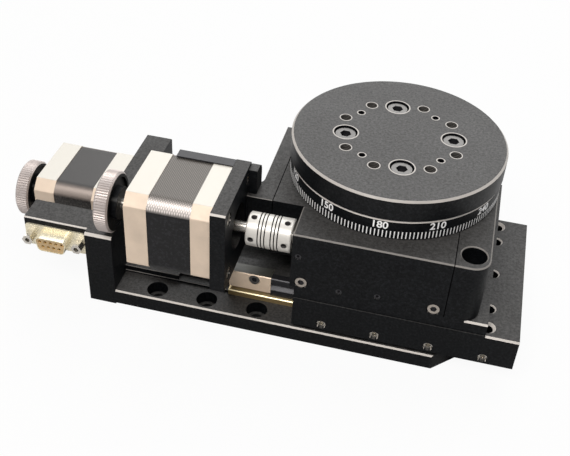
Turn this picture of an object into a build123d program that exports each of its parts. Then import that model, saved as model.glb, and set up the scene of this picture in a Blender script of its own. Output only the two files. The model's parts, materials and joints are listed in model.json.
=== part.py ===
from build123d import *
from math import cos, degrees, pi, radians, sin, sqrt, tan
import os

# Two-axis worm-drive rotation stage, millimetres.
# X runs along the linear axis, Z is up.  The origin is on the bottom of the base,
# under the turning axis of the table with the carriage at rest.

INCH = 25.4

# ---------------------------------------------------------------- linear base
BASE_LEFT = -136.8              # outer face of the end plate
BASE_FRONT = -60.0
BASE_DEPTH = 3.5 * INCH
BASE_BACK = BASE_FRONT + BASE_DEPTH
END_PLATE = 13.5                # thickness along X
END_PLATE_TOP = 42.3
BASE_START = BASE_LEFT + END_PLATE
BASE_END = BASE_LEFT + 207.0
LEDGE_TOP = 8.9
LEDGE_DEPTH = 15.0
LEDGE_END = BASE_LEFT + 170.5   # the mounting ledges stop here and run in at 45 degrees
PLATFORM_TOP = 13.3
RAIL_START = BASE_LEFT + 41.5   # the way bars begin
GUIDE_START = BASE_LEFT + 67.6  # the stop blocks begin
GUIDE_RAIL = BASE_LEFT + 88.5   # the grooved rails begin
BASE_HOLE_FIRST = BASE_LEFT + 33.2
BASE_HOLE_COUNT = 7
BASE_HOLE_INSET = 0.25 * INCH + 0.5
BASE_HOLE_R = 3.4
BASE_CBORE_R = 5.2
BASE_CBORE_DEPTH = 6.4

# ---------------------------------------------------------------- guides
WAY_FRONT = BASE_FRONT + 13.6
WAY_TOP = 12.0
STEP_WIDTH = 5.0                # step at the foot of the platform, left of the guides
STEP_TOP = 10.2
RAIL_WIDTH = 4.0
RAIL_BOTTOM = 12.6
RAIL_TOP = 23.2
GUIDE_GAP = 0.6                 # between the fixed and the moving rail
ROLLER_D = 3.0
ROLLER_PITCH = 9.0
ROLLER_COUNT = 8
ROLLER_PLAY = 0.06
GROOVE_Z = 17.9
CAGE_THICK = 0.3
CAGE_HEIGHT = 6.4
RIB_WIDTH = 8.0

# ---------------------------------------------------------------- carriage
CARRIAGE_LENGTH = 4.125 * INCH
CARRIAGE_LEFT = BASE_LEFT + 102.7
CARRIAGE_RIGHT = CARRIAGE_LEFT + CARRIAGE_LENGTH
CARRIAGE_BOTTOM = 11.3
CARRIAGE_TOP = 28.35
CARRIAGE_CHANNEL_TOP = 23.9
CARRIAGE_HOLE_R = 2.55
CARRIAGE_HOLE_INSET = 14.8
CARRIAGE_HOLE_DEPTH = 9.5
PRELOAD_Z = 14.5
PRELOAD_R = 2.4
ADAPTER_LEFT = CARRIAGE_LEFT
ADAPTER_RIGHT = BASE_LEFT + 192.0
ADAPTER_FRONT = BASE_FRONT + 0.5
ADAPTER_BACK = 51.0
ADAPTER_TOP = CARRIAGE_TOP + 0.25 * INCH

# ---------------------------------------------------------------- lead screw
SCREW_Y = BASE_FRONT + 2.0 * INCH
SCREW_Z = 21.2
SCREW_R = 4.0
SCREW_END = BASE_LEFT + 190.0
JOURNAL_R = 2.5
BEARING_OD = 14.0
BEARING_WIDTH = 5.0
RUN = 0.05                      # radial clearance of a running fit
EDGE_BREAK = 0.8                # bright bevels along the machined edges

# ---------------------------------------------------------------- motors
MOTOR_SIZE = 42.3
MOTOR_CHAMFER = 4.9
STATOR_SIZE = 41.7
STATOR_CORNER = 7.0
MOTOR_LENGTH = 39.8
MOTOR_CAP = 9.2
MOTOR_REAR_CAP = 10.5
MOTOR_HOLE = 31.0               # mounting square
PILOT_R = 11.0
PILOT_HEIGHT = 2.0
ROTOR_R = 12.5
ROTOR_GAP = 0.3
KNOB_R = 14.4
KNOB_WIDTH = 7.0
KNOB_HUB_R = 8.0
KNOB_HUB = 2.0

# ---------------------------------------------------------------- rotary body
BODY_TOP = 65.7
BODY_FRONT = ADAPTER_FRONT
BODY_BACK = ADAPTER_BACK
BODY_LEFT = BASE_LEFT + 85.8
BODY_SEAM = BASE_LEFT + 172.0   # the end block starts here
BODY_RIGHT = BASE_LEFT + 187.3
RECESS_RIGHT = BASE_LEFT + 100.4
RECESS_BACK = BASE_FRONT + 21.5
FLANGE_LEFT = BASE_LEFT + 78.2
FLANGE_BACK = BASE_FRONT + 84.0
FLANGE_ARM_BACK = BASE_FRONT + 33.0
END_BLOCK_CORNER = 8.0
BOLT_WELL_R = 5.7
BOLT_WELL_DEPTH = 16.0

# ---------------------------------------------------------------- worm drive
WORM_Y = BASE_FRONT + 8.0
WORM_Z = 58.4
TEETH = 72
MODULE = 1.3
WORM_PITCH_R = 5.2              # the wheel's pitch radius plus this is the centre distance
WHEEL_PITCH_R = TEETH * MODULE / 2
ADDENDUM = 0.85
DEDENDUM = 1.15
WHEEL_WIDTH = 7.0
WORM_TURNS = 3                  # odd, so that a gap of the thread meets the wheel's front tooth
BACKLASH = 0.3
PRESSURE_ANGLE = 20.0
WORM_BORE_R = 6.5
CAVITY_R = 48.3
CAVITY_BOTTOM = 53.6

# ---------------------------------------------------------------- motor plate and coupling
PLATE_LEFT = BASE_LEFT + 66.4
PLATE_RIGHT = BASE_LEFT + 73.4
PLATE_FRONT = BASE_FRONT - 14.1
PLATE_BACK = BASE_FRONT + 29.2
PLATE_BOTTOM = 36.6
PLATE_TOP = 80.2
WEB_TOP = 78.6                  # the web behind the plate stands up from the side flange
WEB_THICK = 4.1
COUPLING_R = 7.95
COUPLING_LEFT = BASE_LEFT + 78.4
COUPLING_RIGHT = BASE_LEFT + 99.4

# ---------------------------------------------------------------- table
TABLE_R = 2.0 * INCH
TABLE_TOP = 87.4
TABLE_BOTTOM = 76.6
TABLE_TURN = 10.3               # degrees that the hole pattern stands turned at rest
TABLE_CIRCLE_R = 1.0 * INCH
DIAL_R = 50.3
DIAL_BOTTOM = 66.2
DIAL_INNER_R = 44.0
SPINDLE_R = 15.0
SPINDLE_FLANGE_R = 43.8
SPINDLE_BOTTOM = 38.0
TABLE_BEARING_R = 21.0
TABLE_BEARING_BOTTOM = 42.0
TABLE_BEARING_TOP = 51.0

CAP_SCREW_HEAD_R = 4.75
CAP_SCREW_HEAD = 6.35
CAP_SCREW_R = 3.15


# ================================================================ helpers
def block(x0, x1, y0, y1, z0, z1):
    """A box between two corners."""
    return Pos((x0 + x1) / 2, (y0 + y1) / 2, (z0 + z1) / 2) * Box(x1 - x0, y1 - y0, z1 - z0)


def rod_x(radius, x0, x1, y, z):
    """A round bar along X."""
    return Pos((x0 + x1) / 2, y, z) * Rot(0, 90, 0) * Cylinder(radius, x1 - x0)


def rod_y(radius, y0, y1, x, z):
    """A round bar along Y."""
    return Pos(x, (y0 + y1) / 2, z) * Rot(90, 0, 0) * Cylinder(radius, y1 - y0)


def rod_z(radius, z0, z1, x=0.0, y=0.0):
    """A round bar along Z."""
    return Pos(x, y, (z0 + z1) / 2) * Cylinder(radius, z1 - z0)


def prism_z(points, z0, z1):
    """A plan outline raised from z0 to z1."""
    face = make_face(Polyline(*points, close=True))
    return Pos(0, 0, z0) * extrude(face, z1 - z0)


def hexagon_x(across, x0, x1, y, z):
    """A hexagonal bar along X, as a socket is cut."""
    flat = Rot(0, 90, 0) * extrude(RegularPolygon(across / 2, 6, major_radius=False), x1 - x0)
    return Pos(x0, y, z) * flat


def hexagon_z(across, z0, z1, x, y):
    return Pos(x, y, z0) * extrude(RegularPolygon(across / 2, 6, major_radius=False), z1 - z0)


def hexagon_y(across, y0, y1, x, z):
    return Pos(x, y0, z) * Rot(-90, 0, 0) * extrude(
        RegularPolygon(across / 2, 6, major_radius=False), y1 - y0)


def cap_screw_z(x, y, seat, length, shank_r=CAP_SCREW_R, head_r=CAP_SCREW_HEAD_R, head=CAP_SCREW_HEAD):
    """A socket head screw pointing down, with the underside of its head at z = seat."""
    body = rod_z(head_r, seat, seat + head, x, y) + rod_z(shank_r, seat - length, seat, x, y)
    return body - hexagon_z(head_r, seat + head * 0.45, seat + head, x, y)


def cap_screw_y(x, z, seat, length, shank_r, head_r, head):
    """A socket head screw pointing to the back, with the underside of its head at y = seat."""
    body = rod_y(head_r, seat - head, seat, x, z) + rod_y(shank_r, seat, seat + length, x, z)
    return body - hexagon_y(head_r, seat - head, seat - head * 0.45, x, z)


def cap_screw_x(y, z, seat, length, shank_r, head_r, head):
    """A socket head screw pointing to the left, with the underside of its head at x = seat."""
    body = rod_x(head_r, seat, seat + head, y, z) + rod_x(shank_r, seat - length, seat, y, z)
    return body - hexagon_x(head_r, seat + head * 0.45, seat + head, y, z)


def set_screw_y(x, z, y0, y1, radius):
    """A socket set screw along Y with its socket towards the front."""
    return rod_y(radius, y0, y1, x, z) - hexagon_y(radius, y0, y0 + radius, x, z)


def mirror_back(shape):
    """The same piece on the other side of the base's middle plane."""
    middle = (BASE_FRONT + BASE_BACK) / 2
    return mirror(shape, Plane.XZ.offset(-middle))


def motor_square():
    half = MOTOR_HOLE / 2
    return [(sy * half, sz * half) for sy in (-1, 1) for sz in (-1, 1)]


nodes = {}

# ================================================================ linear base
base_hole_xs = [BASE_HOLE_FIRST + INCH * i for i in range(BASE_HOLE_COUNT)]
base_hole_xs = [x for x in base_hole_xs if x < LEDGE_END - 6.0]
base_hole_ys = (BASE_FRONT + BASE_HOLE_INSET, BASE_BACK - BASE_HOLE_INSET)
way_inner = BASE_FRONT + LEDGE_DEPTH + STEP_WIDTH
rail_inner = BASE_FRONT + LEDGE_DEPTH + RAIL_WIDTH
stop_inner = BASE_FRONT + LEDGE_DEPTH + 7.0
rib_inner = rail_inner + RIB_WIDTH


def base_plate():
    ledge_in = BASE_FRONT + LEDGE_DEPTH
    ledge_out = BASE_BACK - LEDGE_DEPTH
    plan = [(BASE_START, BASE_FRONT), (LEDGE_END, BASE_FRONT), (LEDGE_END + LEDGE_DEPTH, ledge_in),
            (BASE_END, ledge_in), (BASE_END, ledge_out), (LEDGE_END + LEDGE_DEPTH, ledge_out),
            (LEDGE_END, BASE_BACK), (BASE_START, BASE_BACK)]
    body = prism_z(plan, 0, LEDGE_TOP)
    body += block(BASE_START, RAIL_START, ledge_in, ledge_out, LEDGE_TOP - 1, PLATFORM_TOP)
    body += block(RAIL_START - 1, BASE_END, way_inner, BASE_FRONT + BASE_BACK - way_inner,
                  LEDGE_TOP - 1, PLATFORM_TOP)
    body += block(RAIL_START - 1, GUIDE_START, ledge_in, ledge_out, LEDGE_TOP - 1, STEP_TOP)
    rib = block(GUIDE_RAIL, BASE_END, rail_inner, rib_inner, WAY_TOP, RAIL_TOP - 0.2)
    rib += block(GUIDE_START, GUIDE_RAIL, stop_inner, rib_inner, PLATFORM_TOP - 1, RAIL_TOP - 0.2)
    body += rib
    body += mirror_back(rib)
    front_edge = body.edges().filter_by(Axis.X)
    front_edge = front_edge.filter_by_position(Axis.Y, BASE_FRONT - 0.1, BASE_FRONT + 0.1)
    body = chamfer(front_edge, 0.7)
    for x in base_hole_xs:
        for y in base_hole_ys:
            body -= rod_z(BASE_HOLE_R, -1, LEDGE_TOP + 1, x, y)
            body -= rod_z(BASE_CBORE_R, LEDGE_TOP - BASE_CBORE_DEPTH, LEDGE_TOP + 1, x, y)
    for x, z in guide_screw_places():
        for side in (lambda s: s, mirror_back):
            body -= side(rod_y(1.6, rail_inner - 1, rail_inner + 8, x, z))
    for x in end_screw_xs():
        body -= rod_x(1.6, BASE_START - 1, BASE_START + 10, x, 5.0)
    return body


def end_screw_xs():
    """Places across the depth of the screws that hold the end plate on the base."""
    return [BASE_FRONT + 10.0, BASE_BACK - 10.0]


def guide_screw_places():
    """X and Z of the side screws of the front guide; the back guide has the same."""
    return [(GUIDE_START + 12.6, 20.3)]


def end_plate():
    body = block(BASE_LEFT, BASE_START, BASE_FRONT, BASE_BACK, 0, END_PLATE_TOP)
    body = chamfer(body.edges().filter_by(Axis.X).group_by(Axis.Z)[-1], 1.2)
    body -= rod_x(PILOT_R + 0.1, BASE_LEFT - 1, BASE_LEFT + PILOT_HEIGHT + 0.3, SCREW_Y, SCREW_Z)
    body -= rod_x(8.2, BASE_LEFT, BASE_START + 1, SCREW_Y, SCREW_Z)
    for dy, dz in motor_square():
        body -= rod_x(1.7, BASE_LEFT - 1, BASE_START + 1, SCREW_Y + dy, SCREW_Z + dz)
        body -= rod_x(3.1, BASE_LEFT + 5.0, BASE_START + 1, SCREW_Y + dy, SCREW_Z + dz)
    for y in end_screw_xs():
        body -= rod_x(1.7, BASE_LEFT - 1, BASE_START + 1, y, 5.0)
        body -= rod_x(3.1, BASE_LEFT - 1, BASE_LEFT + 3.5, y, 5.0)
    return body


def end_plate_screws():
    """The screws that hold the end plate, put in from its outer face."""
    screws = []
    for y in end_screw_xs():
        shank = rod_x(1.5, BASE_LEFT + 3.5, BASE_START + 9, y, 5.0)
        head = rod_x(2.75, BASE_LEFT + 0.5, BASE_LEFT + 3.5, y, 5.0)
        screws.append(shank + head - hexagon_x(2.5, BASE_LEFT + 0.4, BASE_LEFT + 2.0, y, 5.0))
    return screws


def way_bars():
    """Ground bars at the foot of the guides, one each side."""
    front = block(GUIDE_START, BASE_END - 1.0, WAY_FRONT, way_inner, LEDGE_TOP, WAY_TOP)
    front = chamfer(front.edges().filter_by(Axis.X).group_by(Axis.Z)[-1], 0.4)
    return [front, mirror_back(front)]


def stop_blocks():
    """Steel blocks that close the left end of each guide rail, held by a side screw."""
    x, z = guide_screw_places()[0]
    front = block(GUIDE_START, GUIDE_RAIL, BASE_FRONT + LEDGE_DEPTH, stop_inner,
                  PLATFORM_TOP + 0.4, RAIL_TOP + 0.2)
    front = chamfer(front.edges().filter_by(Axis.X).group_by(Axis.Z)[-1], 0.4)
    front -= rod_y(2.8, BASE_FRONT + LEDGE_DEPTH - 1, BASE_FRONT + LEDGE_DEPTH + 3.2, x, z)
    front -= rod_y(1.6, BASE_FRONT + LEDGE_DEPTH, stop_inner + 1, x, z)
    return [front, mirror_back(front)]


def stop_block_screws():
    x, z = guide_screw_places()[0]
    seat = BASE_FRONT + LEDGE_DEPTH + 3.2
    front = cap_screw_y(x, z, seat, 7.0, 1.5, 2.6, 2.9)
    return [front, mirror_back(front)]


def groove(x0, x1, face_y, towards):
    """The right-angled V of a crossed-roller rail, cut into the face at face_y."""
    half_diagonal = ROLLER_D / 2 * sqrt(2)
    centre_y = face_y + towards * -GUIDE_GAP / 2
    square = Pos(x0, centre_y, GROOVE_Z) * Rot(45, 0, 0) * Pos((x1 - x0) / 2, 0, 0) * Box(
        x1 - x0, half_diagonal * sqrt(2), half_diagonal * sqrt(2))
    return square


def fixed_rails():
    face = BASE_FRONT + LEDGE_DEPTH
    front = block(GUIDE_RAIL, BASE_END - 1.0, face, rail_inner, RAIL_BOTTOM, RAIL_TOP)
    front = chamfer(front.edges().filter_by(Axis.X).group_by(Axis.Z)[-1], 0.4)
    front -= groove(GUIDE_RAIL - 1, BASE_END, face, 1)
    return [front, mirror_back(front)]


def screw_bearing_block():
    """The block that carries the driven end of the lead screw."""
    left = BASE_LEFT + 42.0
    right = left + 12.0
    body = block(left, right, SCREW_Y - 13, SCREW_Y + 13, PLATFORM_TOP, 31.0)
    body = fillet(body.edges().filter_by(Axis.X).group_by(Axis.Z)[-1], 4.0)
    body -= rod_x(BEARING_OD / 2, left + 2, left + 2 + BEARING_WIDTH, SCREW_Y, SCREW_Z)
    body -= rod_x(5.0, left - 1, right + 1, SCREW_Y, SCREW_Z)
    body -= rod_x(BEARING_OD / 2, left - 1, left + 3, SCREW_Y, SCREW_Z)
    return body


def ring_x(outer, inner, x0, x1, y, z):
    return rod_x(outer, x0, x1, y, z) - rod_x(inner, x0 - 1, x1 + 1, y, z)


def screw_bearing():
    left = BASE_LEFT + 44.0
    return ring_x(BEARING_OD / 2, JOURNAL_R + RUN, left, left + BEARING_WIDTH, SCREW_Y, SCREW_Z)


# ================================================================ motors
def motor_cap(x0, x1, y, z, boss=0.0):
    """A cast end cap: a square with cut corners, bored for the shaft."""
    half = MOTOR_SIZE / 2
    body = block(x0, x1, y - half, y + half, z - half, z + half)
    body = chamfer(body.edges().filter_by(Axis.X), MOTOR_CHAMFER)
    body = fillet(body.edges().filter_by(Axis.X), 0.8)
    if boss > 0:
        body += rod_x(PILOT_R, x1 - 0.5, x1 + boss, y, z)
    body -= rod_x(JOURNAL_R + RUN, x0 - 1, x1 + boss + 1, y, z)
    return body


def motor_stator(x0, x1, y, z):
    """The laminated stack, with rounded corners and a round bore."""
    half = STATOR_SIZE / 2
    body = block(x0, x1, y - half, y + half, z - half, z + half)
    body = fillet(body.edges().filter_by(Axis.X), STATOR_CORNER)
    return body - rod_x(ROTOR_R + ROTOR_GAP, x0 - 1, x1 + 1, y, z)


def motor_pieces(right, y, z):
    """Front cap, stack and rear cap of a motor whose mounting face is at x = right."""
    front = motor_cap(right - MOTOR_CAP, right, y, z, PILOT_HEIGHT)
    stack = motor_stator(right - MOTOR_LENGTH + MOTOR_REAR_CAP, right - MOTOR_CAP, y, z)
    rear = motor_cap(right - MOTOR_LENGTH, right - MOTOR_LENGTH + MOTOR_REAR_CAP, y, z)
    for dy, dz in motor_square():
        front -= rod_x(1.25, right - 4.5, right + 1, y + dy, z + dz)
    return front, stack, rear


def motor_rotor(right, y, z):
    left = right - MOTOR_LENGTH + MOTOR_REAR_CAP
    return rod_x(ROTOR_R, left + 0.8, right - MOTOR_CAP - 0.8, y, z)


def knob(left, y, z):
    """A hand knob with a coarse straight knurl and a hub towards the motor."""
    rim = rod_x(KNOB_R, left, left + KNOB_WIDTH, y, z)
    rim = chamfer(rim.edges().filter_by(GeomType.CIRCLE), 0.7)
    face = left + KNOB_WIDTH
    rim -= rod_x(KNOB_R - 2.2, face - 1.0, face + 1, y, z)
    rim += rod_x(KNOB_HUB_R, face - 1.5, face + KNOB_HUB, y, z)
    rim -= rod_x(JOURNAL_R, left - 1, face + KNOB_HUB + 1, y, z)
    return rim


# ================================================================ connector
DB9_X = BASE_LEFT - 16.6
DB9_Z = 32.4
BOX_LEFT = BASE_LEFT - 32.4
BOX_FRONT = BASE_FRONT + 3.9
BOX_BOTTOM = 25.6
BOX_WALL = 1.6
JACK_SPACING = 24.99
FLANGE_THICK = 0.8
SHELL_LENGTH = 6.6
SHELL_WIDTH = 16.3
SHELL_HEIGHT = 7.9
SHELL_WALL = 0.4


def connector_box():
    top = END_PLATE_TOP - 0.3
    back = BASE_FRONT + 18.5
    body = block(BOX_LEFT, BASE_LEFT, BOX_FRONT, back, BOX_BOTTOM, top)
    body = chamfer(body.edges().filter_by(Axis.X).group_by(Axis.Z)[-1], 0.6)
    body -= Pos(DB9_X, BOX_FRONT, DB9_Z) * Box(18.6, 16.0, 9.6)
    body -= block(BOX_LEFT + BOX_WALL, BASE_LEFT - BOX_WALL, BOX_FRONT + 7.9, back - BOX_WALL,
                  BOX_BOTTOM + BOX_WALL, top - BOX_WALL)
    for side in (-1, 1):
        body -= rod_y(1.4, BOX_FRONT - 1, BOX_FRONT + 6, DB9_X + side * JACK_SPACING / 2, DB9_Z)
    return body


def d_outline(width, height, radius, slope=1.6):
    """The trapezium of a D connector: wide at the top, with rounded corners."""
    points = [(-width / 2, height / 2), (width / 2, height / 2),
              (width / 2 - slope, -height / 2), (-width / 2 + slope, -height / 2)]
    outline = make_face(Polyline(*points, close=True))
    return fillet(outline.vertices(), radius)


def stand_up(face, y):
    """Turns a flat outline so that it faces the front, at the given y."""
    return Pos(DB9_X, y, DB9_Z) * Rot(90, 0, 0) * face


def db9_shell():
    """The pressed shell of a socket connector, with its flange."""
    flange = Pos(DB9_X, BOX_FRONT - FLANGE_THICK / 2, DB9_Z) * Box(30.8, FLANGE_THICK, 12.5)
    flange = fillet(flange.edges().filter_by(Axis.Y), 1.6)
    outer = extrude(stand_up(d_outline(SHELL_WIDTH, SHELL_HEIGHT, 2.2), BOX_FRONT - 0.4), SHELL_LENGTH)
    wall = 2 * SHELL_WALL
    inner = extrude(stand_up(d_outline(SHELL_WIDTH - wall, SHELL_HEIGHT - wall, 1.8), BOX_FRONT + 1.0), 9.0)
    shell = flange + outer - inner
    for side in (-1, 1):
        shell -= rod_y(1.55, BOX_FRONT - 3, BOX_FRONT + 3, DB9_X + side * JACK_SPACING / 2, DB9_Z)
    return shell


def db9_insert():
    """The insulator, flush with the front of the shell and drilled for nine contacts."""
    wall = 2 * SHELL_WALL + 0.1
    face = d_outline(SHELL_WIDTH - wall, SHELL_HEIGHT - wall, 1.7)
    body = extrude(stand_up(face, BOX_FRONT + 6.0), SHELL_LENGTH + 6.0)
    for x, z in db9_contact_places():
        body -= rod_y(0.85, BOX_FRONT - 9, BOX_FRONT + 7, x, z)
    return body


def db9_contact_places():
    pitch, row = 2.77, 1.42
    top = [(DB9_X + pitch * (i - 2), DB9_Z + row) for i in range(5)]
    return top + [(DB9_X + pitch * (i - 1.5), DB9_Z - row) for i in range(4)]


def db9_contacts():
    """Nine sleeves, each a little behind the front of the insulator."""
    sleeves = []
    for x, z in db9_contact_places():
        sleeve = rod_y(0.85, BOX_FRONT - 6.0, BOX_FRONT + 6.0, x, z)
        sleeves.append(sleeve - rod_y(0.5, BOX_FRONT - 7.0, BOX_FRONT + 1.0, x, z))
    return sleeves


def jackscrews():
    """Hex stand-offs that hold the connector and take the plug's screws."""
    front = BOX_FRONT - FLANGE_THICK
    screws = []
    for side in (-1, 1):
        x = DB9_X + side * JACK_SPACING / 2
        body = hexagon_y(4.8, front - 5.0, front, x, DB9_Z) + rod_y(1.35, front, front + 6, x, DB9_Z)
        screws.append(body - rod_y(1.2, front - 6.0, front - 1.0, x, DB9_Z))
    return screws


# ================================================================ lead screw
def lead_screw():
    """The screw with its driven journal turned down."""
    body = rod_x(SCREW_R, BASE_LEFT + 55.0, SCREW_END, SCREW_Y, SCREW_Z)
    body += rod_x(JOURNAL_R, BASE_LEFT + 27.6, BASE_LEFT + 56.0, SCREW_Y, SCREW_Z)
    body += rod_x(3.6, BASE_LEFT + 49.0, BASE_LEFT + 55.5, SCREW_Y, SCREW_Z)
    return chamfer(body.edges().filter_by(GeomType.CIRCLE).group_by(Axis.X)[-1], 0.6)


def lead_coupling():
    body = rod_x(7.5, BASE_LEFT + 17.0, BASE_LEFT + 37.0, SCREW_Y, SCREW_Z)
    body = chamfer(body.edges().filter_by(GeomType.CIRCLE), 0.4)
    return body - rod_x(JOURNAL_R, BASE_LEFT + 16, BASE_LEFT + 38, SCREW_Y, SCREW_Z)


def lead_nut():
    """The nut block under the carriage, bored for the screw."""
    left = CARRIAGE_LEFT + 14.0
    right = left + 28.0
    body = block(left, right, SCREW_Y - 9, SCREW_Y + 9, 14.4, CARRIAGE_CHANNEL_TOP)
    body = chamfer(body.edges().filter_by(Axis.X).group_by(Axis.Z)[0], 2.0)
    body -= rod_x(SCREW_R + 0.06, left - 1, right + 1, SCREW_Y, SCREW_Z)
    return body


# ================================================================ carriage
skirt_inner = BASE_FRONT + LEDGE_DEPTH - GUIDE_GAP - RAIL_WIDTH


def carriage_hole_ys():
    middle = (BASE_FRONT + BASE_BACK) / 2
    return [middle + d * INCH for d in (-1.5, -1.0, 0.0, 1.0, 1.5)]


def preload_xs():
    middle = (CARRIAGE_LEFT + CARRIAGE_RIGHT) / 2
    return [middle + (i - 1.5) * INCH for i in range(4)]


def countersunk_z(radius, rim, bottom, top, x, y):
    """The shape of a hole from the top face, widened to the radius rim at 45 degrees."""
    depth = rim - radius
    return rod_z(radius, bottom, top, x, y) + Pos(x, y, top - depth / 2) * Cone(radius, rim, depth)


def carriage_plate():
    back_inner = BASE_FRONT + BASE_BACK - skirt_inner
    body = block(CARRIAGE_LEFT, CARRIAGE_RIGHT, BASE_FRONT, BASE_BACK, CARRIAGE_BOTTOM, CARRIAGE_TOP)
    body -= block(CARRIAGE_LEFT - 1, CARRIAGE_RIGHT + 1, skirt_inner, back_inner,
                  CARRIAGE_BOTTOM - 1, CARRIAGE_CHANNEL_TOP)
    body -= block(CARRIAGE_LEFT - 1, CARRIAGE_RIGHT + 1, SCREW_Y - SCREW_R - 0.6, SCREW_Y + SCREW_R + 0.6,
                  CARRIAGE_CHANNEL_TOP - 1, SCREW_Z + SCREW_R + 0.6)
    for y in (BASE_FRONT, BASE_BACK):
        body -= Pos((ADAPTER_RIGHT + CARRIAGE_RIGHT + 1) / 2, y, CARRIAGE_TOP) * Rot(45, 0, 0) * Box(
            CARRIAGE_RIGHT + 1 - ADAPTER_RIGHT, EDGE_BREAK * sqrt(2), EDGE_BREAK * sqrt(2))
    for x in (CARRIAGE_LEFT + CARRIAGE_HOLE_INSET, CARRIAGE_RIGHT - CARRIAGE_HOLE_INSET):
        for y in carriage_hole_ys():
            over_skirt = y < skirt_inner or y > back_inner
            bottom = CARRIAGE_TOP - CARRIAGE_HOLE_DEPTH if over_skirt else CARRIAGE_CHANNEL_TOP - 1
            rim = 3.75 if over_skirt else 3.15
            body -= countersunk_z(CARRIAGE_HOLE_R, rim, bottom, CARRIAGE_TOP, x, y)
    for x in preload_xs():
        body -= rod_y(PRELOAD_R, BASE_FRONT - 1, skirt_inner + 1, x, PRELOAD_Z)
    return body


def preload_screws():
    return [set_screw_y(x, PRELOAD_Z, BASE_FRONT + 1.2, skirt_inner, PRELOAD_R) for x in preload_xs()]


def moving_rails():
    face = BASE_FRONT + LEDGE_DEPTH - GUIDE_GAP
    front = block(CARRIAGE_LEFT + 0.5, CARRIAGE_RIGHT - 0.5, skirt_inner, face, RAIL_BOTTOM, RAIL_TOP)
    front -= groove(CARRIAGE_LEFT - 1, CARRIAGE_RIGHT + 1, face, -1)
    return [front, mirror_back(front)]


# ================================================================ crossed rollers
CAGE_LEFT = BASE_LEFT + 110.0
cage_y = BASE_FRONT + LEDGE_DEPTH - GUIDE_GAP / 2


def roller_xs():
    return [CAGE_LEFT + 4.0 + ROLLER_PITCH * i for i in range(ROLLER_COUNT)]


def roller_cages():
    right = CAGE_LEFT + 8.0 + ROLLER_PITCH * (ROLLER_COUNT - 1)
    front = block(CAGE_LEFT, right, cage_y - CAGE_THICK / 2, cage_y + CAGE_THICK / 2,
                  GROOVE_Z - CAGE_HEIGHT / 2, GROOVE_Z + CAGE_HEIGHT / 2)
    for x in roller_xs():
        front -= Pos(x, cage_y, GROOVE_Z) * Box(ROLLER_D + 0.3, 2, ROLLER_D * 1.55)
    return [front, mirror_back(front)]


def crossed_rollers():
    rollers = []
    size = ROLLER_D - 2 * ROLLER_PLAY
    for i, x in enumerate(roller_xs()):
        lean = 45 if i % 2 else -45
        roller = Pos(x, cage_y, GROOVE_Z) * Rot(lean, 0, 0) * Cylinder(size / 2, size)
        rollers += [roller, mirror_back(roller)]
    return rollers


# ================================================================ adapter and rotary body
def adapter_plate():
    body = block(ADAPTER_LEFT, ADAPTER_RIGHT, ADAPTER_FRONT, ADAPTER_BACK, CARRIAGE_TOP, ADAPTER_TOP)
    bevel_left = BODY_RIGHT - END_BLOCK_CORNER + 2.0
    body -= Pos((bevel_left + ADAPTER_RIGHT + 1) / 2, ADAPTER_FRONT, ADAPTER_TOP) * Rot(45, 0, 0) * Box(
        ADAPTER_RIGHT + 1 - bevel_left, EDGE_BREAK * sqrt(2), EDGE_BREAK * sqrt(2))
    for x, y in body_bolt_places():
        body -= rod_z(2.6, CARRIAGE_TOP - 1, ADAPTER_TOP + 1, x, y)
    return body


def body_bolt_places():
    """The screws that hold the rotary body down, in counterbores in its corners."""
    return [(BASE_LEFT + 179.8, BASE_FRONT + 10.0), (BASE_LEFT + 179.8, ADAPTER_BACK - 8.0)]


def outer_top_edges(body):
    """The edges of the top face, apart from those where two pieces of the housing meet."""
    edges = body.edges().filter_by(Plane.XY).group_by(Axis.Z)[-1]
    joints = (BODY_LEFT, BODY_SEAM)
    return [e for e in edges if all(abs(e.center().X - x) > 0.1 for x in joints)]


def away_from_recess(edges):
    """Leaves out the edges of the corner recess, which is broken more lightly."""
    return [e for e in edges if abs(e.center().Y - RECESS_BACK) > 0.1]


def rotary_body():
    body = block(BODY_LEFT, BODY_SEAM, BODY_FRONT, BODY_BACK, ADAPTER_TOP, BODY_TOP)
    body -= block(BODY_LEFT - 1, RECESS_RIGHT, BODY_FRONT - 1, RECESS_BACK, ADAPTER_TOP - 1, BODY_TOP + 1)
    body = chamfer(away_from_recess(outer_top_edges(body)), 0.6)
    body -= rod_z(CAVITY_R, CAVITY_BOTTOM, BODY_TOP + 1)
    body -= rod_z(TABLE_BEARING_R, TABLE_BEARING_BOTTOM, CAVITY_BOTTOM + 1)
    body -= rod_z(TABLE_BEARING_R - 4, SPINDLE_BOTTOM - 1.5, CAVITY_BOTTOM + 1)
    body -= rod_x(WORM_BORE_R, RECESS_RIGHT - 1, BODY_SEAM + 1, WORM_Y, WORM_Z)
    for x, z in body_screw_places():
        body -= rod_y(3.2, BODY_FRONT - 1, BODY_FRONT + 2.6, x, z)
        body -= rod_y(1.7, BODY_FRONT, BODY_FRONT + 12.5, x, z)
    for x, z, end in plug_places():
        body -= rod_y(1.5, BODY_FRONT - 1, BODY_FRONT + end, x, z)
    return body


def body_screw_places():
    return [(BASE_LEFT + 105.6, 38.0), (BASE_LEFT + 166.9, 38.0)]


def body_screws():
    return [cap_screw_y(x, z, BODY_FRONT + 2.6, 9.0, 1.6, 2.75, 2.4) for x, z in body_screw_places()]


def plug_places():
    """X, Z and inner end of the small set screws in the front face; the first one locks a bearing."""
    return [(BASE_LEFT + 103.4, 53.2, 2.0), (BASE_LEFT + 123.4, 37.0, 4.6), (BASE_LEFT + 141.1, 38.7, 4.6)]


def body_set_screws():
    return [set_screw_y(x, z, BODY_FRONT + 0.4, BODY_FRONT + end, 1.5) for x, z, end in plug_places()]


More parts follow.
